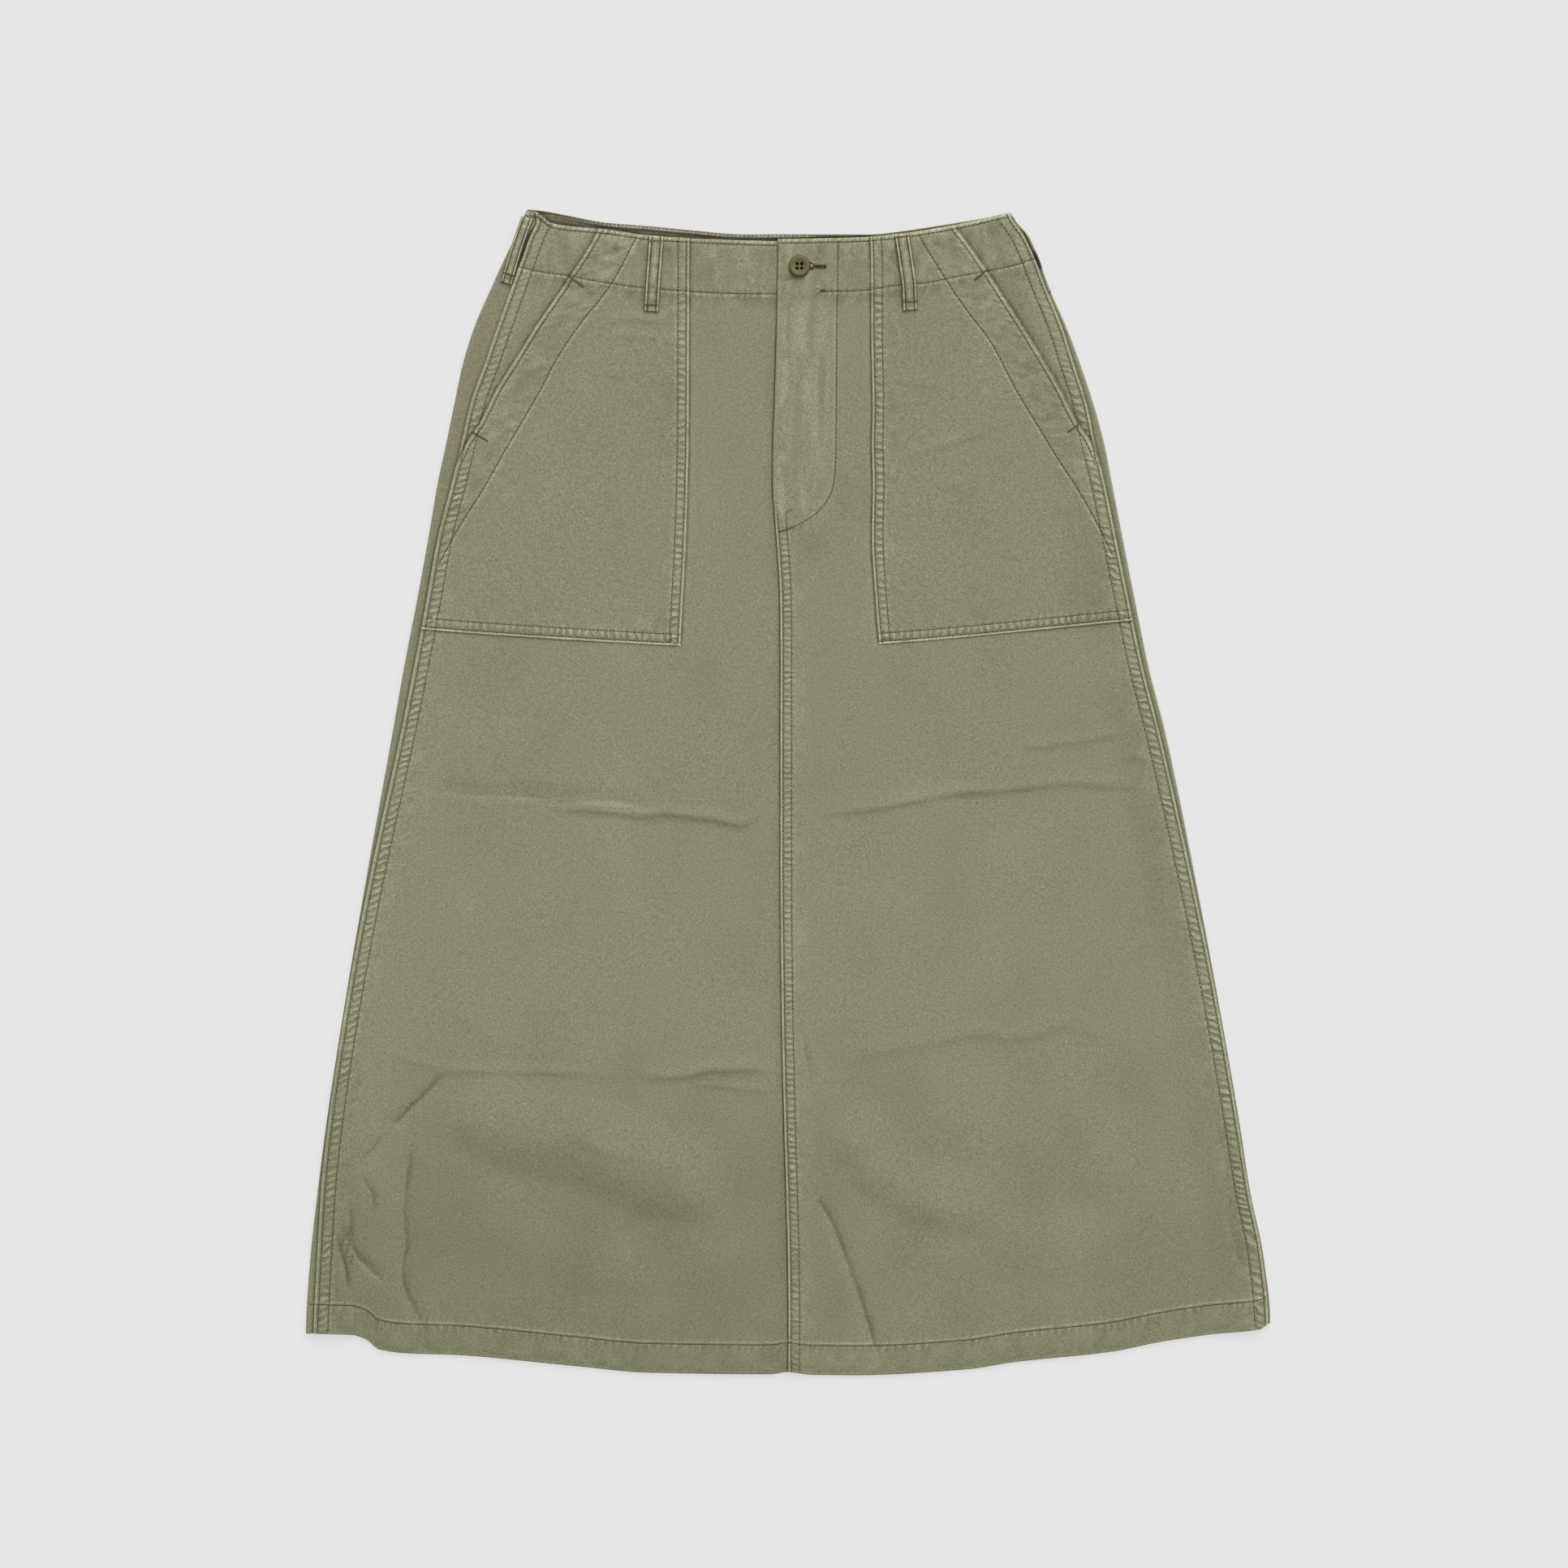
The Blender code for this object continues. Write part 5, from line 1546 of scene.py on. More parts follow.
@dataclass
class Back:
    """The back panel, which wraps round both side folds, and the facing inside its waist."""

    lie: Lie
    flap_steps: tuple[float, ...] = (0.0, 0.3, 0.5, 0.6, 0.68, 0.75, 0.82, 0.9)
    arc_steps: int = 9
    cells_across: int = 120
    cells_down: tuple[int, int, int, int] = (8, 56, 110, 5)
    thickness: float = 0.9
    facing_height: float = 2.55
    surface: BVHTree | None = None
    facing_surface: BVHTree | None = None

    def build(self, finishes: Finishes) -> None:
        """Build and dress the back and its facing."""
        self.build_panel(finishes)
        self.build_facing(finishes)

    def band_row(self, x: Array) -> Array:
        """Depth of the row under the back's waist band."""
        return self.lie.waist_back(x) + self.lie.band

    def build_panel(self, finishes: Finishes) -> None:
        """The back panel: one strip from the right lap, under the skirt, to the left lap."""
        lie, radius = self.lie, self.lie.fold_radius
        band, body, skirt, hem = self.cells_down
        rows = grid_lines([(EDGE_OFFSETS, band, reverse(ROW_OFFSETS)), (ROW_OFFSETS, body, (4.0,)),
                           ((0.0,), skirt, reverse(ROW_OFFSETS)), (ROW_OFFSETS, hem, reverse(EDGE_OFFSETS[:5]))])
        guides = [lambda at: lie.lines["right_edge"](at) + radius, lambda at: lie.lines["left_edge"](at) - radius]
        x, down = panel_places(grid_lines([((0.0, 3.0), self.cells_across, (3.0,))]), rows, guides,
                               [lie.waist_back, self.band_row, lie.pocket_foot, lie.hem_stitch, lie.hem_line])
        height, wear = np.zeros(x.shape), np.zeros(x.shape)
        for crease in BACK_CREASES:
            crease.add(x, down, height)
        height = height * soft_step((x - lie.lines["right_edge"](down)) / 20.0)
        height = height * soft_step((lie.lines["left_edge"](down) - x) / 20.0)
        # painted shade in the back's band and hem rows
        for curve in (self.band_row, lie.hem_stitch):
            Seam(SeamLine(curve, Runs.ACROSS, 1.0), (Stripe(0.0, 0.9, -0.2, 0.18),),
                 (Drag(0.4, 12.0, 0.2, 0.0, 8.0, 16.0),), 31).add(x, down, height, wear)
        strips = [self.turned(down[:, :1], RIGHT), (x, down, np.clip(height, 0.0, None), wear),
                  [part[:, ::-1] for part in self.turned(down[:, -1:], LEFT)]]
        parts = (np.concatenate([strip[part] for strip in strips], axis=1)[:, ::-1] for part in range(4))
        thing = grid_object("back_cloth", *parts)
        thicken(thing, self.thickness)
        self.surface = surface_tree(thing)
        finish_piece(thing, finishes.side, "olive_cloth", "back")

    def turned(self, column: Array, side: Side) -> tuple[Array, Array, Array, Array]:
        """The part of the back that turns up round a side fold and lies on the front under its seam.

        Args:
            column: Depths of the bottom's outermost grid points.
            side: The side.

        Returns:
            x, down, height, and rubbed light and painted shade, from the seam round the fold to the bottom.
        """
        lie, radius, inwards = self.lie, self.lie.fold_radius, side.inwards
        fold = lie.lines[f"{side.name}_edge"](column)
        seam = lie.lines[f"{side.name}_seam"](column)
        lap = seam + inwards * lie.side_lap
        angles = np.linspace(0.0, math.pi, self.arc_steps + 1)[None, :]
        arc_x = fold + inwards * radius * (1.0 - np.sin(angles))
        arc_z = np.broadcast_to(radius * (1.0 + np.cos(angles)), arc_x.shape)
        flap_x = lap + (arc_x[:, :1] - lap) * np.array(self.flap_steps)[None, :]
        x = np.concatenate([flap_x, arc_x[:, :-1]], axis=1)
        z = np.concatenate([np.full(flap_x.shape, 2.0 * radius), arc_z[:, :-1]], axis=1)
        down = np.repeat(column, x.shape[1], axis=1)
        depth = down - lie.waist_back(fold)
        waist_gap = (lie.waist_front(x) + lie.gap - lie.waist_back(fold)) * soft_step(z / (2.0 * radius))
        down = down + waist_gap * soft_step((lie.band - depth) / lie.band)
        outside = inwards * (seam - x)
        on_top = soft_step(z / 3.9)
        # the waist edge rubbed light and its row darkened as painted shade
        edge = 0.75 * hump(depth - 1.5, 1.9) - 0.8 * hump(depth - WAIST_ROW - 0.6, 0.9)
        # painted highlight along the top of the fold
        wear = 0.16 * hump(np.abs(x - fold) - 0.4, 2.4) * soft_step(z / 2.0)
        # painted shadow just outside the seam's edge
        wear = wear - 0.8 * (1.0 - np.clip(outside / 2.2, 0.0, 1.0)) * on_top + edge * on_top
        # near-black painted shadow in the gap between the seam and the belt loop
        behind_loop = soft_step((depth - 10.0) / 6.0) * soft_step((50.0 - depth) / 14.0)
        return x, down, z, wear - 1.6 * hump(outside - 1.1, 2.2) * behind_loop * on_top

    def build_facing(self, finishes: Finishes) -> None:
        """The facing inside the back's waist, which shows above the front's waist edge."""
        lie = self.lie
        top = lambda x: lie.waist_back(x) + 2.0 * lie.gap
        sides = [lambda down: lie.lines["right_seam"](down) + 1.0, lambda down: lie.lines["left_seam"](down) - 1.0]
        x, down = panel_places(grid_lines([((0.0, 2.0), 114, (2.0,))]), grid_lines([(EDGE_OFFSETS, 14, (0.6,))]),
                               sides, [top, lambda x: top(x) + lie.band])
        line = SeamLine(top, Runs.ACROSS, 1.0)
        # Painted shade on the facing: its row, its end towards the right side, a shade along the front's waist edge,
        # and a near-black painted shadow in that gap near the centre; its top edge is rubbed light.
        sewn = [Seam(line, pucker=Pucker(2.9, 0.0, 4.6, 0.5, 0.8, 5.0)),
                Seam(SeamLine(top, Runs.ACROSS, 1.0, -186.0, fade=60.0),
                     (Stripe(1.0, 1.3, 0.85, 0.0), Stripe(2.9, 1.2, -0.9, -0.15)),
                     (Drag(3.0, 20.0, 0.2, 0.15, 9.0, 14.0),), 33),
                Seam(SeamLine(top, Runs.ACROSS, 1.0, stop=-120.0, fade=60.0),
                     (Stripe(0.9, 1.3, -0.7, -0.1), Stripe(2.9, 1.6, 0.16, 0.0)), seed=35),
                Seam(SeamLine(lie.waist_front, Runs.ACROSS, -1.0), (Stripe(0.0, 4.5, -0.8, 0.0),), seed=34),
                Seam(SeamLine(lie.waist_front, Runs.ACROSS, -1.0, -6.0, 74.0), (Stripe(0.4, 2.4, -1.5, 0.0),))]
        thing = ClothPanel("waist_facing_cloth", x, down, np.full(x.shape, self.facing_height), sewn, [line],
                           thickness=0.8).build()
        self.facing_surface = surface_tree(thing)
        finish_piece(thing, finishes.inside, "facing_cloth", "waist_facing_back")


# ---------------------------------------------------------------- belt loops

def height_on(trees: Sequence[BVHTree], x: float, down: float) -> float:
    """Height of the highest of several surfaces at a place."""
    best = 0.0
    origin = Vector((x * MM, (HALF_LENGTH - down) * MM, 1.0))
    for tree in trees:
        hit = tree.ray_cast(origin, Vector((0.0, 0.0, -1.0)))[0]
        if hit is not None:
            best = max(best, hit.z / MM)
    return best


@dataclass
class BeltLoops:
    """Four belt loops: two on the pockets, one on the right side's turned back, one round the left fold."""

    lie: Lie
    width: float = 11.6
    side_width: float = 8.8
    row_inset: float = 0.21      # its two rows from its edges, as a share of its width
    tuck: float = 0.6            # how far the left side fold gives way under its loop
    arch: float = 1.2
    cells: int = 64
    wrap_cells: int = 12
    surfaces: dict[str, BVHTree] = field(default_factory=dict)

    def strip(self, name: str, path: Sequence[Point], width: float, carrier: Callable[[float, float], float],
              seed: int) -> bpy.types.Object:
        """A folded strip sewn down at both ends and arched between.

        Args:
            name: The object's name.
            path: Corners (x, down) of its middle line, from the waist down.
            width: Its width.
            carrier: Height of what it stands on, from x and down.
            seed: Which unevenness to use.

        Returns:
            The strip's object.
        """
        row = self.row_inset * width
        inside = np.array([0.0, 0.3, 0.65, 0.5 * row, row - 0.6, row, row + 0.6]) - 0.5 * width
        offsets = np.concatenate([inside, [-0.6, 0.6], -inside[::-1]])[None, :]
        reach = np.linspace(0.0, 1.0, self.cells + 1)
        points, stops = measured(path)
        stops = stops / stops[-1]
        middle_x, middle_down = np.interp(reach, stops, points[:, 0]), np.interp(reach, stops, points[:, 1])
        run = (points[-1] - points[0]) / np.hypot(*(points[-1] - points[0]))
        x = middle_x[:, None] + offsets * run[1]
        down = middle_down[:, None] - offsets * run[0]
        base = np.array([[carrier(float(a), float(b)) for a, b in zip(row_x, row_down)]
                         for row_x, row_down in zip(x, down)])
        along = reach[:, None] * 60.0
        lift = self.arch * soft_step(reach / 0.16) * soft_step((1.0 - reach) / 0.16)
        edge = 0.5 * width - np.abs(offsets)
        height = base + 1.25 + lift[:, None] + edge_round(edge, 0.9, 0.6)
        height = height - 0.16 * hump(edge - row, 0.9) + 0.08 * wander_over(along / 6.0, offsets / 5.0, seed)
        height = height - 0.35 * (hump(along - 53.0, 1.8) + hump(along - 7.0, 1.8))
        # rubbed light near the edges, painted shade in both rows, and a painted shadow along the very edges
        wear = 0.80 * hump(edge - 0.55 * row, 0.8) - 1.5 * hump(edge - row, 0.8)
        wear = wear + 0.14 * soft_step((edge - row - 0.6) / 1.0) - 1.8 * hump(edge, 0.6)
        ends = hump(along, 4.5) + hump(along - 60.0, 4.5)
        wear = wear + 0.4 * ends + 0.25 * wander_over(along / 4.0 + 5.0, offsets / 3.0, seed + 3)
        return grid_object(name, x, down, height, wear)

    def wrapped(self) -> bpy.types.Object:
        """The loop that goes round the outside of the left side fold."""
        radius, columns = self.lie.fold_radius, np.arange(self.wrap_cells + 1)
        reach = np.linspace(0.0, 1.0, self.cells + 1)[:, None]
        angle = np.radians(np.linspace(70.0, -24.0, len(columns)))[None, :]
        down = np.repeat(20.0 + 44.0 * reach, len(columns), axis=1)
        bulge = hump(down - 39.0, 10.5)
        out = radius + 0.9 + 0.45 * bulge
        x = self.lie.lines["left_edge"](down) - radius - self.tuck + out * np.cos(angle)
        edge = np.minimum(columns, columns[::-1])[None, :] * 0.5
        # painted shade over the whole loop, near-black where it bulges, for the shadow in the gap under it
        wear = -0.15 - 1.7 * bulge + 0.1 * wander_over(reach * 15.0, edge, 49)
        return grid_object("loop_side_left_cloth", x, down, radius + out * np.sin(angle), wear)

    def dress(self, thing: bpy.types.Object, finishes: Finishes, node: str, thickness: float) -> None:
        """Args:
            thing: The loop.
            finishes: The materials.
            node: The node it replaces.
            thickness: Its thickness in millimetres.
        """
        thicken(thing, thickness)
        self.surfaces[node] = surface_tree(thing)
        finish_piece(thing, finishes.loop, "loop_cloth", node)

    def build(self, pockets: Pockets, finishes: Finishes) -> None:
        """Build and dress the four loops."""
        paths = {"right": ((-100.3, 21.2), (-104.3, 78.6)), "left": ((86.9, 19.0), (92.6, 57.7), (93.6, 77.6))}
        for number, (side, path) in enumerate(paths.items()):
            carrier = lambda x, down, tree=pockets.surfaces[side]: height_on([tree], x, down)
            thing = self.strip(f"loop_front_{side}_cloth", path, self.width, carrier, 41 + number)
            self.dress(thing, finishes, f"loop_front_{side}", 1.05)
        thing = self.strip("loop_side_right_cloth", ((-199.0, 7.0), (-207.6, 32.0), (-215.0, 57.0)), self.side_width,
                           lambda x, down: 2.0 * self.lie.fold_radius, 44)
        self.dress(thing, finishes, "loop_side_right", 1.0)
        self.dress(self.wrapped(), finishes, "loop_side_left", 0.9)


# ---------------------------------------------------------------- sewing

class Thread(NamedTuple):
    """One visible length of thread: its two ends (x, down, height) and its radius."""

    start: Triple
    end: Triple
    radius: float


def thread_mesh(name: str, threads: Sequence[Thread], sides: int = 6, rings: int = 4) -> bpy.types.Object:
    """All threads of one kind as a joined mesh of small rounded lengths.

    Args:
        name: The object's name.
        threads: The threads.
        sides: Sides of each.
        rings: Steps from one tip to the other.

    Returns:
        The new object, linked to the scene.
    """
    bm = bmesh.new()
    bmesh.ops.create_uvsphere(bm, u_segments=sides, v_segments=rings, radius=1.0)
    bm.verts.ensure_lookup_table()
    shape = np.array([vertex.co[:] for vertex in bm.verts])
    shape[:, 2] = np.sign(shape[:, 2]) * np.abs(shape[:, 2]) ** 0.6
    faces = [[vertex.index for vertex in face.verts] for face in bm.faces]
    bm.free()
    flip, lift = np.array([1.0, -1.0, 1.0]), np.array([0.0, HALF_LENGTH, 0.0])
    start = (np.array([thread.start for thread in threads]) * flip + lift) * MM
    end = (np.array([thread.end for thread in threads]) * flip + lift) * MM
    radius = np.array([thread.radius for thread in threads])[:, None, None]
    along = end - start
    length = np.linalg.norm(along, axis=1, keepdims=True)
    along = along / length
    beside = np.cross(along, np.array([0.0, 0.0, 1.0]))
    beside = beside / np.linalg.norm(beside, axis=1, keepdims=True)
    upwards = np.cross(beside, along)
    middle = 0.5 * (start + end)
    ring = beside[:, None, :] * shape[None, :, :1] + upwards[:, None, :] * shape[None, :, 1:2]
    reach = along[:, None, :] * shape[None, :, 2:] * 0.5 * length[:, None, :]
    verts = middle[:, None, :] + ring * radius * MM + reach
    joined = [[index + number * len(shape) for index in face] for number in range(len(threads)) for face in faces]
    mesh = bpy.data.meshes.new(name)
    mesh.from_pydata(verts.reshape(-1, 3).tolist(), [], joined)
    mesh.shade_smooth()
    return link_object(name, mesh)


def smooth_path(points: Sequence[Point]) -> list[Point]:
    """More points on a smooth line through a few."""
    return [tuple(map(float, point)) for point in Crease(tuple(points), 0.0, 1.0, 1.0).path()]


@dataclass
class Sewing:
    """Stitch rows and bartacks, seated on the cloth."""

    lie: Lie
    trees: Sequence[BVHTree]
    pitch: float = 3.1
    hole: float = 0.55       # length that dips under the cloth between two stitches
    radius: float = 0.36
    bar_step: float = 0.42   # from one thread of a dense bar to the next
    seed: int = 5

    def row(self, points: Sequence[Point], trees: Sequence[BVHTree] | None = None) -> list[Thread]:
        """A row of stitches along a line.

        Args:
            points: The line's points (x, down).
            trees: The surfaces to seat it on, or None for the fronts and pockets.

        Returns:
            The row's threads.
        """
        path, stops = measured(points)
        count = max(1, int(round(stops[-1] / self.pitch)))
        step = stops[-1] / count
        rng = np.random.default_rng(self.seed + int(abs(path[0, 0]) * 10.0) + count)
        threads = []
        for number in range(count):
            shift = rng.uniform(-0.12, 0.12)
            ends = []
            for at in (number * step + 0.5 * self.hole + shift, (number + 1) * step - 0.5 * self.hole + shift):
                x, down = (float(np.interp(at, stops, part)) for part in path.T)
                ends.append((x, down, height_on(trees or self.trees, x, down) + 0.03))
            lean = rng.uniform(-0.1, 0.1)
            (x0, d0, z0), (x1, d1, z1) = ends
            threads.append(Thread((x0 + lean, d0, z0), (x1 - lean, d1, z1), self.radius * rng.uniform(0.88, 1.1)))
        return threads

    def beside(self, name: str, shift: float, start: float, stop: float) -> list[Point]:
        """Points of a row beside a lengthwise line."""
        downs = np.arange(start, stop, 4.0)
        return [(float(self.lie.lines[name](down)) + shift, float(down)) for down in (*downs, stop)]

    def slanted(self, table: Sequence[Point], shift: float, start: float, stop: float) -> list[Point]:
        """Points of a row a true distance beside a slanting line."""
        curve, downs = Curve(table), np.arange(start, stop, 4.0)
        stretch = np.sqrt(1.0 + curve.slope(downs) ** 2)
        return list(zip((curve(downs) + shift * stretch).tolist(), downs.tolist()))

    def along(self, curve: Guide, shift: float, start: float, stop: float) -> list[Point]:
        """Points of a row beside a crosswise line."""
        places = np.arange(start, stop, 4.0)
        return [(float(place), float(curve(place)) + shift) for place in (*places, stop)]

    def build_fronts(self, finishes: Finishes) -> None:
        """Every row on the fronts and pockets."""
        lie = self.lie
        rows = [self.beside("right_seam", shift * 1.03, 5.0 + 0.6 * shift, 857.6) for shift in RIGHT.rows]
        rows += [self.beside("left_seam", -shift * 1.03, 3.0 + 0.5 * shift, 850.0) for shift in LEFT.rows]
        rows += [self.beside("centre", shift, 232.5, stop) for shift, stop in zip(CENTRE_ROWS, (888.5, 889.0))]
        rows.append([(float(lie.lines["centre"](232.5)) + CENTRE_ROWS[1], 232.5), (4.0, 229.5)])
        for side, top in ((RIGHT, 24.0), (LEFT, 21.5)):
            rows += [self.beside(f"{side.name}_pocket", -side.inwards * shift, top, 330.5) for shift in POCKET_ROWS]
        for right_shift, left_shift in zip(RIGHT.foot_rows, LEFT.foot_rows):
            rows += [self.along(lie.pocket_foot, -right_shift, -276.5, -81.5),
                     self.along(lie.pocket_foot, -left_shift, 68.5, 261.0)]
        rows += [self.slanted(*row) for row in (
            (RIGHT.mouth, RIGHT.mouth_row, 17.7, 196.0), (RIGHT.facing, FACING_ROW, 23.6, 274.7),
            (LEFT.mouth, -LEFT.mouth_row, 15.3, 191.0), (LEFT.facing, -FACING_ROW, 20.5, 268.5))]
        rows += [self.along(*row) for row in (
            (lie.waist_front, WAIST_ROW, -192.0, -9.0), (lie.waist_left, WAIST_ROW, -5.0, 167.0),
            (lie.band_line, 0.0, -202.0, -9.0), (lie.band_line, 0.0, 25.5, 188.0),
            (lie.hem_stitch, 0.0, -366.0, -5.0), (lie.hem_stitch, 0.0, 0.5, 365.0))]
        rows += [smooth_path(FLY_STITCH), [(15.6, 23.5), (15.6, 27.0)]]
        threads = [thread for points in rows for thread in self.row(points)]
        z = height_on(self.trees, 27.0, 62.8) + 0.3
        threads += [Thread((24.6, 62.9 + shift, z), (29.0, 62.6 + shift, z), 0.42) for shift in (-0.3, 0.4)]
        finish_piece(thread_mesh("sewing_fronts", threads), finishes.thread, "sewing_thread")

    def build_back(self, back: Back, finishes: Finishes) -> None:
        """The rows on the back's outside, which lies underneath, and on its facing."""
        lie, threads = self.lie, []
        for row in ((lie.hem_stitch, -0.4, -364.0, 363.0), (back.band_row, 0.0, -196.0, 186.0),
                    (lie.waist_back, 3.4, -194.0, 168.0)):
            for thread in self.row(self.along(*row), [back.surface]):
                ends = []
                for x, down, _ in (thread.start, thread.end):
                    origin = Vector((x * MM, (HALF_LENGTH - down) * MM, -1.0))
                    hit = back.surface.ray_cast(origin, Vector((0.0, 0.0, 1.0)))[0]
                    ends.append((x, down, (hit.z / MM if hit is not None else 0.0) + 0.16))
                threads.append(Thread(*ends, 0.15))
        finish_piece(thread_mesh("sewing_back", threads), finishes.thread, "sewing_thread")
        threads = self.row(self.along(lie.waist_back, 3.4, -178.0, 160.0), [back.facing_surface])
        threads += self.row(self.along(lie.waist_back, 1.0, -186.0, 160.0), [back.facing_surface])
        finish_piece(thread_mesh("sewing_facing", threads), finishes.tack, "sewing_thread")

    def build_loops(self, loops: BeltLoops, finishes: Finishes) -> None:
        """The two edge rows of each loop."""
        threads = []
        paths = {"loop_front_right": ((-100.3, 21.8), (-104.3, 78.0)),
                 "loop_front_left": ((86.9, 19.6), (92.6, 57.7), (93.6, 77.0)),
                 "loop_side_right": ((-199.4, 8.0), (-207.6, 32.0), (-214.8, 56.4))}
        for name, path in paths.items():
            half = (0.5 - loops.row_inset) * (loops.side_width if "side" in name else loops.width)
            for shift in (-half, half):
                threads += self.row([(x + shift, down) for x, down in path], [loops.surfaces[name]])
        finish_piece(thread_mesh("sewing_loops", threads), finishes.thread, "sewing_thread")

    def bartack(self, start: Point, end: Point, width: float, trees: Sequence[BVHTree]) -> list[Thread]:
        """A dense bar of short threads across a line.

        Args:
            start: One end of the bar (x, down).
            end: The other end.
            width: Length of its short threads.
            trees: The surfaces to seat it on.

        Returns:
            The bar's threads.
        """
        first, last = np.array(start, float), np.array(end, float)
        length = float(np.hypot(*(last - first)))
        run = (last - first) / length
        aside = np.array([-run[1], run[0]]) * 0.5 * width
        count = int(length / self.bar_step)
        rng = np.random.default_rng(int(abs(start[0]) * 13.0))
        threads = []
        for number in range(count + 1):
            middle = first + run * length * number / count
            slant = run * 0.25 * (1.0 if number % 2 else -1.0)
            reach = aside * rng.uniform(0.88, 1.12)
            z = height_on(trees, *map(float, middle)) + 0.12
            threads.append(Thread((*(middle - reach - slant), z), (*(middle + reach + slant), z), 0.27))
        z, z_last = (height_on(trees, *map(float, point)) + 0.02 for point in (first, last))
        for side in (-0.3, 0.3):
            threads.append(Thread((*(first + aside * side), z), (*(last + aside * side), z_last), 0.3))
        return threads

    def build_bartacks(self, loops: BeltLoops, finishes: Finishes) -> None:
        """Bars at the pocket mouths, the foot of the fly and the ends of the loops."""
        threads = []
        for bar in (((-167.4, 51.8), (-156.2, 59.6), 1.9), ((-240.8, 171.0), (-229.0, 177.9), 1.9),
                    ((152.6, 46.6), (142.6, 54.6), 1.9), ((221.8, 165.6), (213.6, 171.0), 1.7),
                    ((-7.0, 247.0), (4.4, 243.2), 1.5)):
            threads += self.bartack(*bar, self.trees)
        for x in (-196.6, -193.4, -190.6, -187.4, -184.8):
            down = float(self.lie.waist_front(x)) + 1.6
            z = height_on(self.trees, x, down) + 0.15
            threads.append(Thread((x + 0.9, down - 1.5, z), (x - 0.7, down + 1.5, z), 0.3))
        for name, start, end in (("loop_front_right", (-105.4, 25.2), (-96.0, 25.2)),
                                 ("loop_front_right", (-109.0, 73.6), (-99.6, 73.9)),
                                 ("loop_front_left", (82.4, 22.6), (92.2, 21.4)),
                                 ("loop_front_left", (88.6, 71.8), (98.4, 71.2)),
                                 ("loop_side_right", (-217.0, 49.2), (-209.4, 51.6))):
            threads += self.bartack(start, end, 1.6, [loops.surfaces[name]])
        finish_piece(thread_mesh("bartacks", threads), finishes.tack, "sewing_thread")


# ---------------------------------------------------------------- button and buttonhole

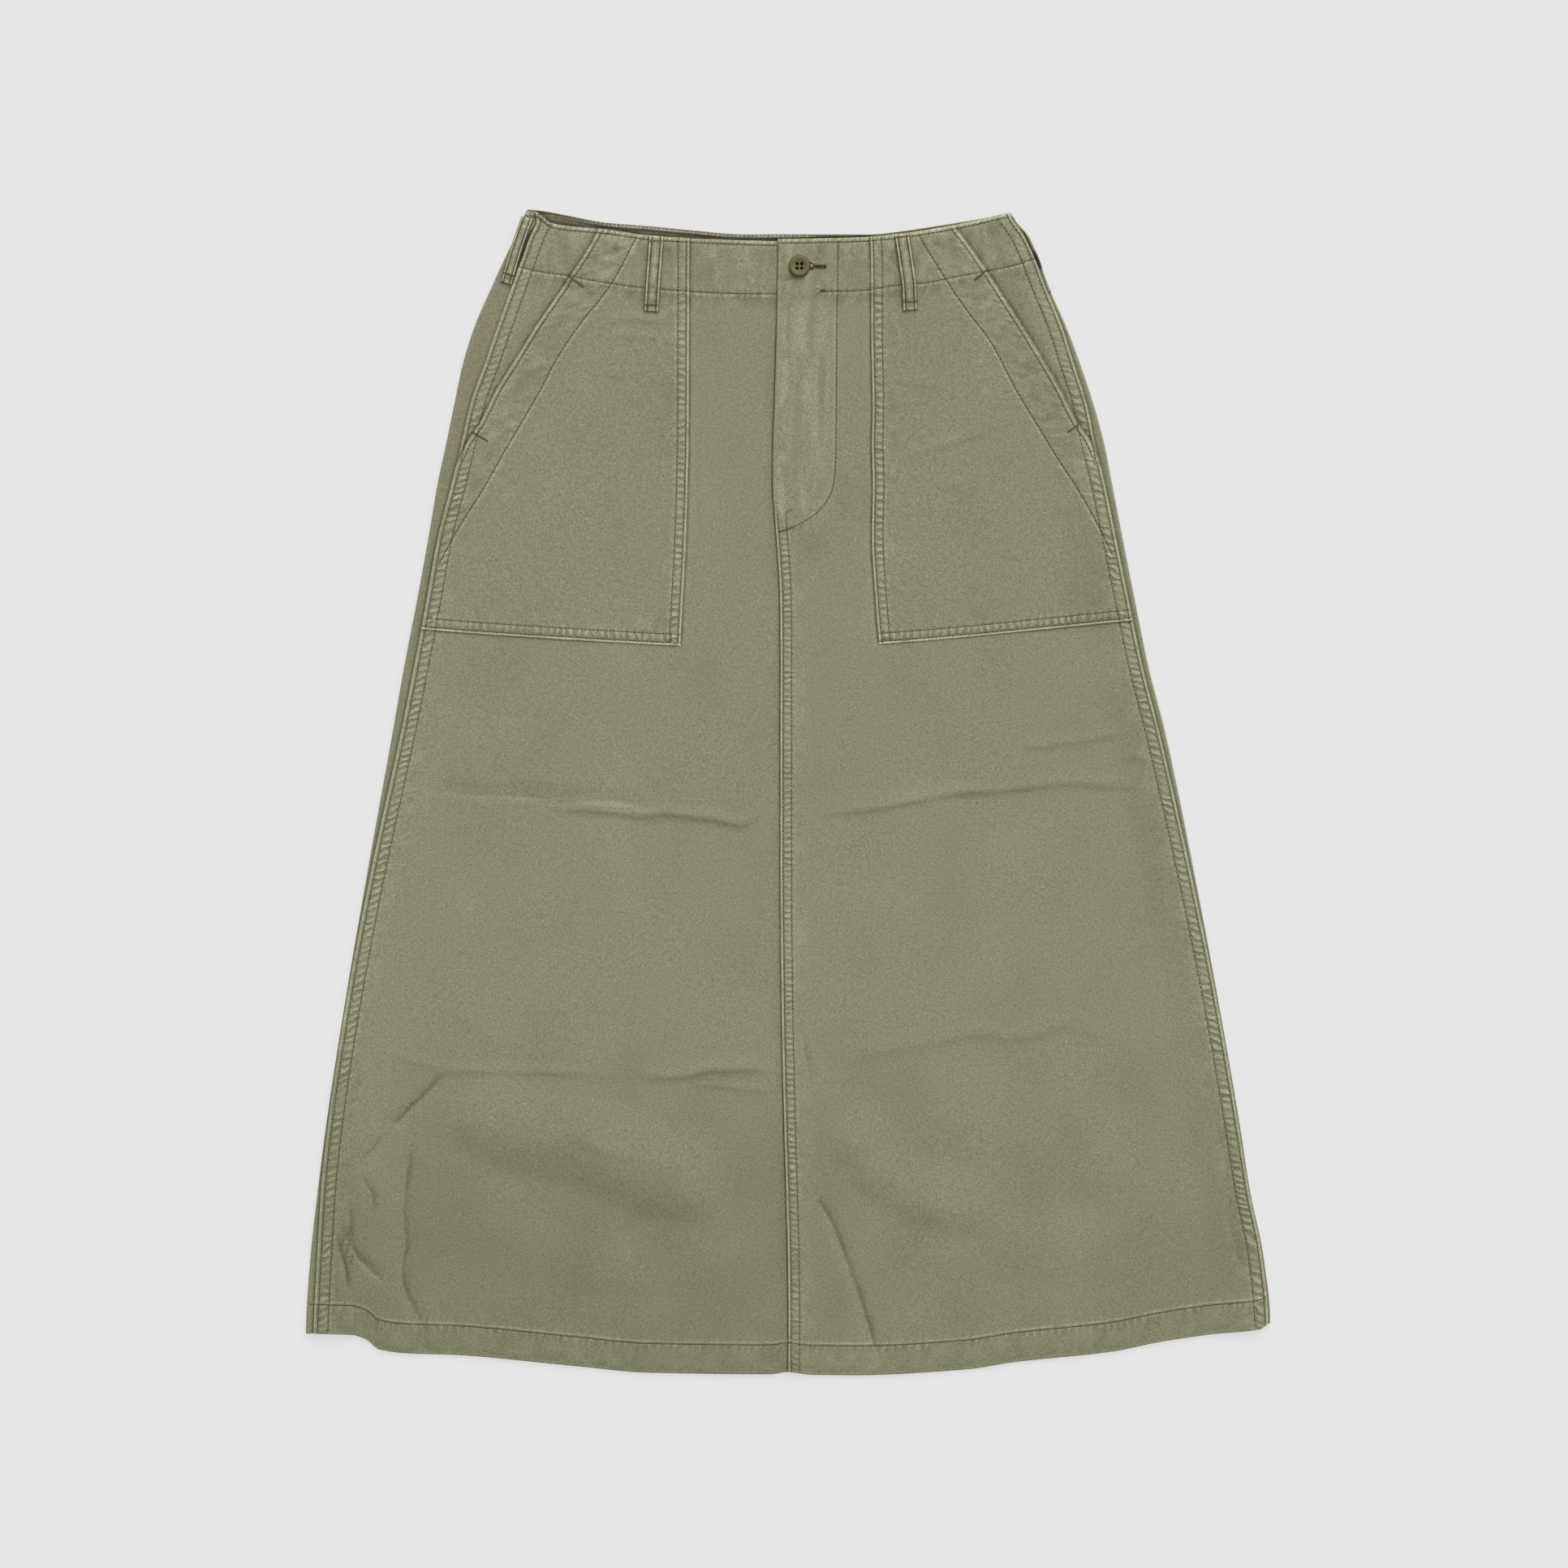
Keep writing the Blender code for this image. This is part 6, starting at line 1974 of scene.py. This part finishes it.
@dataclass(frozen=True)
class ButtonAndHole:
    """The four-hole waist button, the thread that holds it, dark as a painted shadow in its holes, and the keyhole
    buttonhole it is buttoned through.
    """

    x: float = 8.8
    down: float = 44.3
    profile: tuple[Point, ...] = (
        (0.0, 1.75), (3.4, 1.78), (4.3, 1.95), (4.9, 2.3), (5.6, 2.62), (6.6, 2.72), (7.4, 2.5), (7.95, 2.1),
        (8.2, 1.55), (8.0, 1.0), (7.5, 0.5), (6.6, 0.15), (0.0, 0.0))     # radius and height, from its well
    hole_radius: float = 1.4
    hole_pitch: float = 3.5
    seat: float = 0.35
    slit_start: Point = (14.5, 44.2)
    slit_end: Point = (28.0, 44.6)

    def build(self, sewing: Sewing, finishes: Finishes) -> None:
        """Build and dress the button and the buttonhole."""
        foot = height_on(sewing.trees, self.x, self.down) + self.seat
        self.build_button(foot)
        self.build_hole(sewing, finishes)
        self.build_button_thread_and_gap_shadow(sewing, foot, finishes)

    def build_button(self, foot: float) -> None:
        """The turned button with its well, rim and four drilled holes.

        Args:
            foot: Height of its underside.
        """
        bm = bmesh.new()
        verts = [bm.verts.new((radius * MM, 0.0, height * MM)) for radius, height in self.profile]
        edges = [bm.edges.new(pair) for pair in zip(verts, verts[1:])]
        bmesh.ops.spin(bm, geom=verts + edges, cent=(0.0, 0.0, 0.0), axis=(0.0, 0.0, 1.0), angle=2.0 * math.pi,
                       steps=64, use_merge=True)
        bmesh.ops.remove_doubles(bm, verts=bm.verts[:], dist=1e-6)
        bmesh.ops.recalc_face_normals(bm, faces=bm.faces[:])
        centre = Vector((self.x, HALF_LENGTH - self.down, foot)) * MM
        bmesh.ops.translate(bm, verts=bm.verts[:], vec=centre)
        button = place_mesh("waist_button", bm)
        self.drill(button, centre)
        button.data.shade_smooth()
        button.data.set_sharp_from_angle(angle=math.radians(50.0))
        # the last colour is the painted shadow round the rim
        finish = ButtonFinish("button_urea", (0.125, 0.115, 0.048), (0.165, 0.152, 0.070), (0.022, 0.018, 0.008))
        finish_piece(button, finish.build(centre), "button_urea", "button")

    def drill(self, button: bpy.types.Object, centre: Vector) -> None:
        """Cut the four holes and make the cut mesh the button's own.

        Args:
            button: The button.
            centre: Its middle in metres.
        """
        cutters = []
        for index in range(4):
            angle = math.radians(45.0 + 90.0 * index)
            reach = self.hole_pitch / math.sqrt(2.0) * MM
            bm = bmesh.new()
            bmesh.ops.create_cone(bm, cap_ends=True, segments=20, radius1=self.hole_radius * MM,
                                  radius2=self.hole_radius * MM, depth=12.0 * MM)
            bmesh.ops.translate(bm, verts=bm.verts[:],
                                vec=centre + Vector((reach * math.cos(angle), reach * math.sin(angle), 0.0)))
            cutters.append(place_mesh("drill", bm))
            cut = button.modifiers.new("hole", "BOOLEAN")
            cut.operation, cut.object = "DIFFERENCE", cutters[-1]
        evaluated = button.evaluated_get(bpy.context.evaluated_depsgraph_get())
        cut_mesh = bpy.data.meshes.new_from_object(evaluated)
        button.modifiers.clear()
        button.data = cut_mesh
        for cutter in cutters:
            bpy.data.objects.remove(cutter)

    def build_hole(self, sewing: Sewing, finishes: Finishes) -> None:
        """The buttonhole's purled edge and the pale thread ends beside the button, the band and the fly."""
        start, end = np.array(self.slit_start), np.array(self.slit_end)
        length = float(np.hypot(*(end - start)))
        run = (end - start) / np.hypot(*(end - start))
        aside = np.array([-run[1], run[0]])
        rng = np.random.default_rng(77)
        threads = []
        for side in (-1.0, 1.0):
            for number in range(int(length / sewing.bar_step)):
                middle = start + run * number * sewing.bar_step + aside * side * 1.15
                tilt = run * rng.uniform(-0.1, 0.1)
                z = height_on(sewing.trees, *map(float, middle))
                threads.append(Thread((*(middle - aside * side * 0.9 - tilt), z + 0.3),
                                      (*(middle + aside * side * 0.75 + tilt), z + 0.1), 0.26))
        z = height_on(sewing.trees, *map(float, end))
        for angle in np.radians(np.arange(-90.0, 91.0, 18.0)):
            ray = run * math.cos(angle) + aside * math.sin(angle)
            threads.append(Thread((*(end + ray * 0.5), z + 0.3), (*(end + ray * 2.1), z + 0.1), 0.27))
        finish_piece(thread_mesh("buttonhole", threads), finishes.tack, "sewing_thread")
        z = height_on(sewing.trees, 15.5, 44.0) + 0.5
        z_band, z_foot = (height_on(sewing.trees, *place) + 0.35 for place in ((22.5, 60.1), (2.6, 442.7)))
        tufts = [Thread((21.6, 59.8, z_band), (23.5, 60.5, z_band), 0.5),
                 Thread((2.2, 442.2, z_foot), (3.2, 443.3, z_foot), 0.35),
                 Thread((17.2, 43.0, z), (18.9, 44.4, z + 0.25), 0.32),
                 Thread((17.0, 44.4, z), (18.6, 43.4, z + 0.3), 0.3),
                 Thread((17.8, 43.2, z), (18.1, 45.0, z + 0.1), 0.28)]
        finish_piece(thread_mesh("thread_tuft", tufts), finishes.tuft, "sewing_thread")

    def build_button_thread_and_gap_shadow(self, sewing: Sewing, foot: float, finishes: Finishes) -> None:
        """The near-black thread that holds the button, deep in its holes where it also stands in for their shadow,
        and near-black lengths that are a painted shadow in the gap of the buttonhole beside it.

        Args:
            sewing: The sewing, for the surfaces.
            foot: Height of the button's underside.
            finishes: The materials.
        """
        reach, low = 0.5 * self.hole_pitch, foot + 0.6
        threads = [Thread((self.x + across * reach - 0.7, self.down + below * reach, low),
                          (self.x + across * reach + 0.7, self.down + below * reach, low), 1.1)
                   for across in (-1.0, 1.0) for below in (-1.0, 1.0)]
        # near-black lengths as a painted shadow along the slit, in its eye and in the gap round the tuft
        (x0, down0), (x1, down1) = self.slit_start, self.slit_end
        z = height_on(sewing.trees, x1, down1) + 0.3
        threads += [Thread((*start, z), (*end, z), radius) for start, end, radius in (
            ((x0 + 2.6, down0 + 0.1), (x1 - 0.6, down1), 0.32), ((x1 - 0.5, down1), (x1 + 0.9, down1 + 0.1), 0.75),
            ((14.8, 40.4), (19.0, 42.4), 0.4), ((15.2, 46.6), (19.6, 46.6), 0.35),
            ((16.6, 42.4), (16.2, 46.2), 0.55))]
        finish_piece(thread_mesh("button_shank", threads), finishes.black_thread_and_shadow, "sewing_thread")


# ---------------------------------------------------------------- floor, light and camera

@dataclass(frozen=True)
class Studio:
    """The plain pale floor, the soft light and the camera straight above."""

    frame_width: float = 1.19784
    centre_x: float = -0.002945
    centre_y: float = 0.0062
    lens: float = 85.0
    sensor: float = 36.0
    ambient: float = 0.50
    key: float = 2.95
    key_elevation: float = 32.0
    key_azimuth: float = 70.0
    key_angle: float = 50.0
    floor_half: float = 6.0
    floor_drop: float = 0.0002
    floor_tone: Triple = (0.175, 0.175, 0.175)
    floor_glow: float = 0.62     # share of the floor's paleness that no shadow reaches

    def build(self) -> None:
        """Build the floor, the lights and the camera."""
        self.build_floor()
        self.build_lights()
        self.build_camera()

    def build_floor(self) -> None:
        """A wide plain floor just under the skirt."""
        bm = bmesh.new()
        bmesh.ops.create_grid(bm, x_segments=1, y_segments=1, size=self.floor_half)
        bmesh.ops.translate(bm, verts=bm.verts[:], vec=Vector((0.0, 0.0, -self.floor_drop)))
        floor = place_mesh("floor", bm)
        material, nodes, shader = new_material("pale_floor")
        nodes.feed(shader, {"Base Color": self.floor_tone, "Emission Color": (1.0, 1.0, 1.0),
                            "Emission Strength": self.floor_glow, "Roughness": 1.0, "Specular IOR Level": 0.0})
        floor.data.materials.append(material)

    def build_lights(self) -> None:
        """An even sky and one soft key from above the waist."""
        world = bpy.data.worlds.new("studio")
        world.use_nodes = True
        sky = world.node_tree.nodes["Background"]
        Nodes(world.node_tree).feed(sky, {"Color": (1.0, 1.0, 1.0), "Strength": self.ambient})
        bpy.context.scene.world = world
        light = bpy.data.lights.new("key", "SUN")
        light.energy = self.key
        light.angle = math.radians(self.key_angle)
        elevation, azimuth = math.radians(self.key_elevation), math.radians(self.key_azimuth)
        towards = Vector((math.cos(elevation) * math.cos(azimuth), math.cos(elevation) * math.sin(azimuth),
                          math.sin(elevation)))
        link_object("key", light).rotation_euler = towards.to_track_quat("Z", "Y").to_euler()

    def build_camera(self) -> None:
        """A camera straight above, framed on the whole skirt."""
        camera = bpy.data.cameras.new("camera")
        camera.lens = self.lens
        camera.sensor_width = self.sensor
        thing = link_object("camera", camera)
        thing.location = (self.centre_x, self.centre_y, self.frame_width * self.lens / self.sensor + 0.004)
        bpy.context.scene.camera = thing
        bpy.context.scene.view_settings.view_transform = "Standard"


def main() -> None:
    """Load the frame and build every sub-assembly in order."""
    logging.basicConfig(level=logging.INFO, format="%(name)s: %(message)s")
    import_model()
    lie = Lie()
    seams = FrontSeams(lie)
    finishes = Finishes()
    Studio().build()
    back, fronts, pockets, loops = Back(lie), Fronts(lie, seams), Pockets(lie, seams), BeltLoops(lie)
    back.build(finishes)
    fronts.build(finishes)
    pockets.build(finishes)
    loops.build(pockets, finishes)
    sewing = Sewing(lie, [back.surface, *fronts.surfaces.values(), *pockets.surfaces.values()])
    sewing.build_fronts(finishes)
    sewing.build_back(back, finishes)
    sewing.build_loops(loops, finishes)
    sewing.build_bartacks(loops, finishes)
    ButtonAndHole().build(sewing, finishes)


if __name__ == "__main__":
    main()
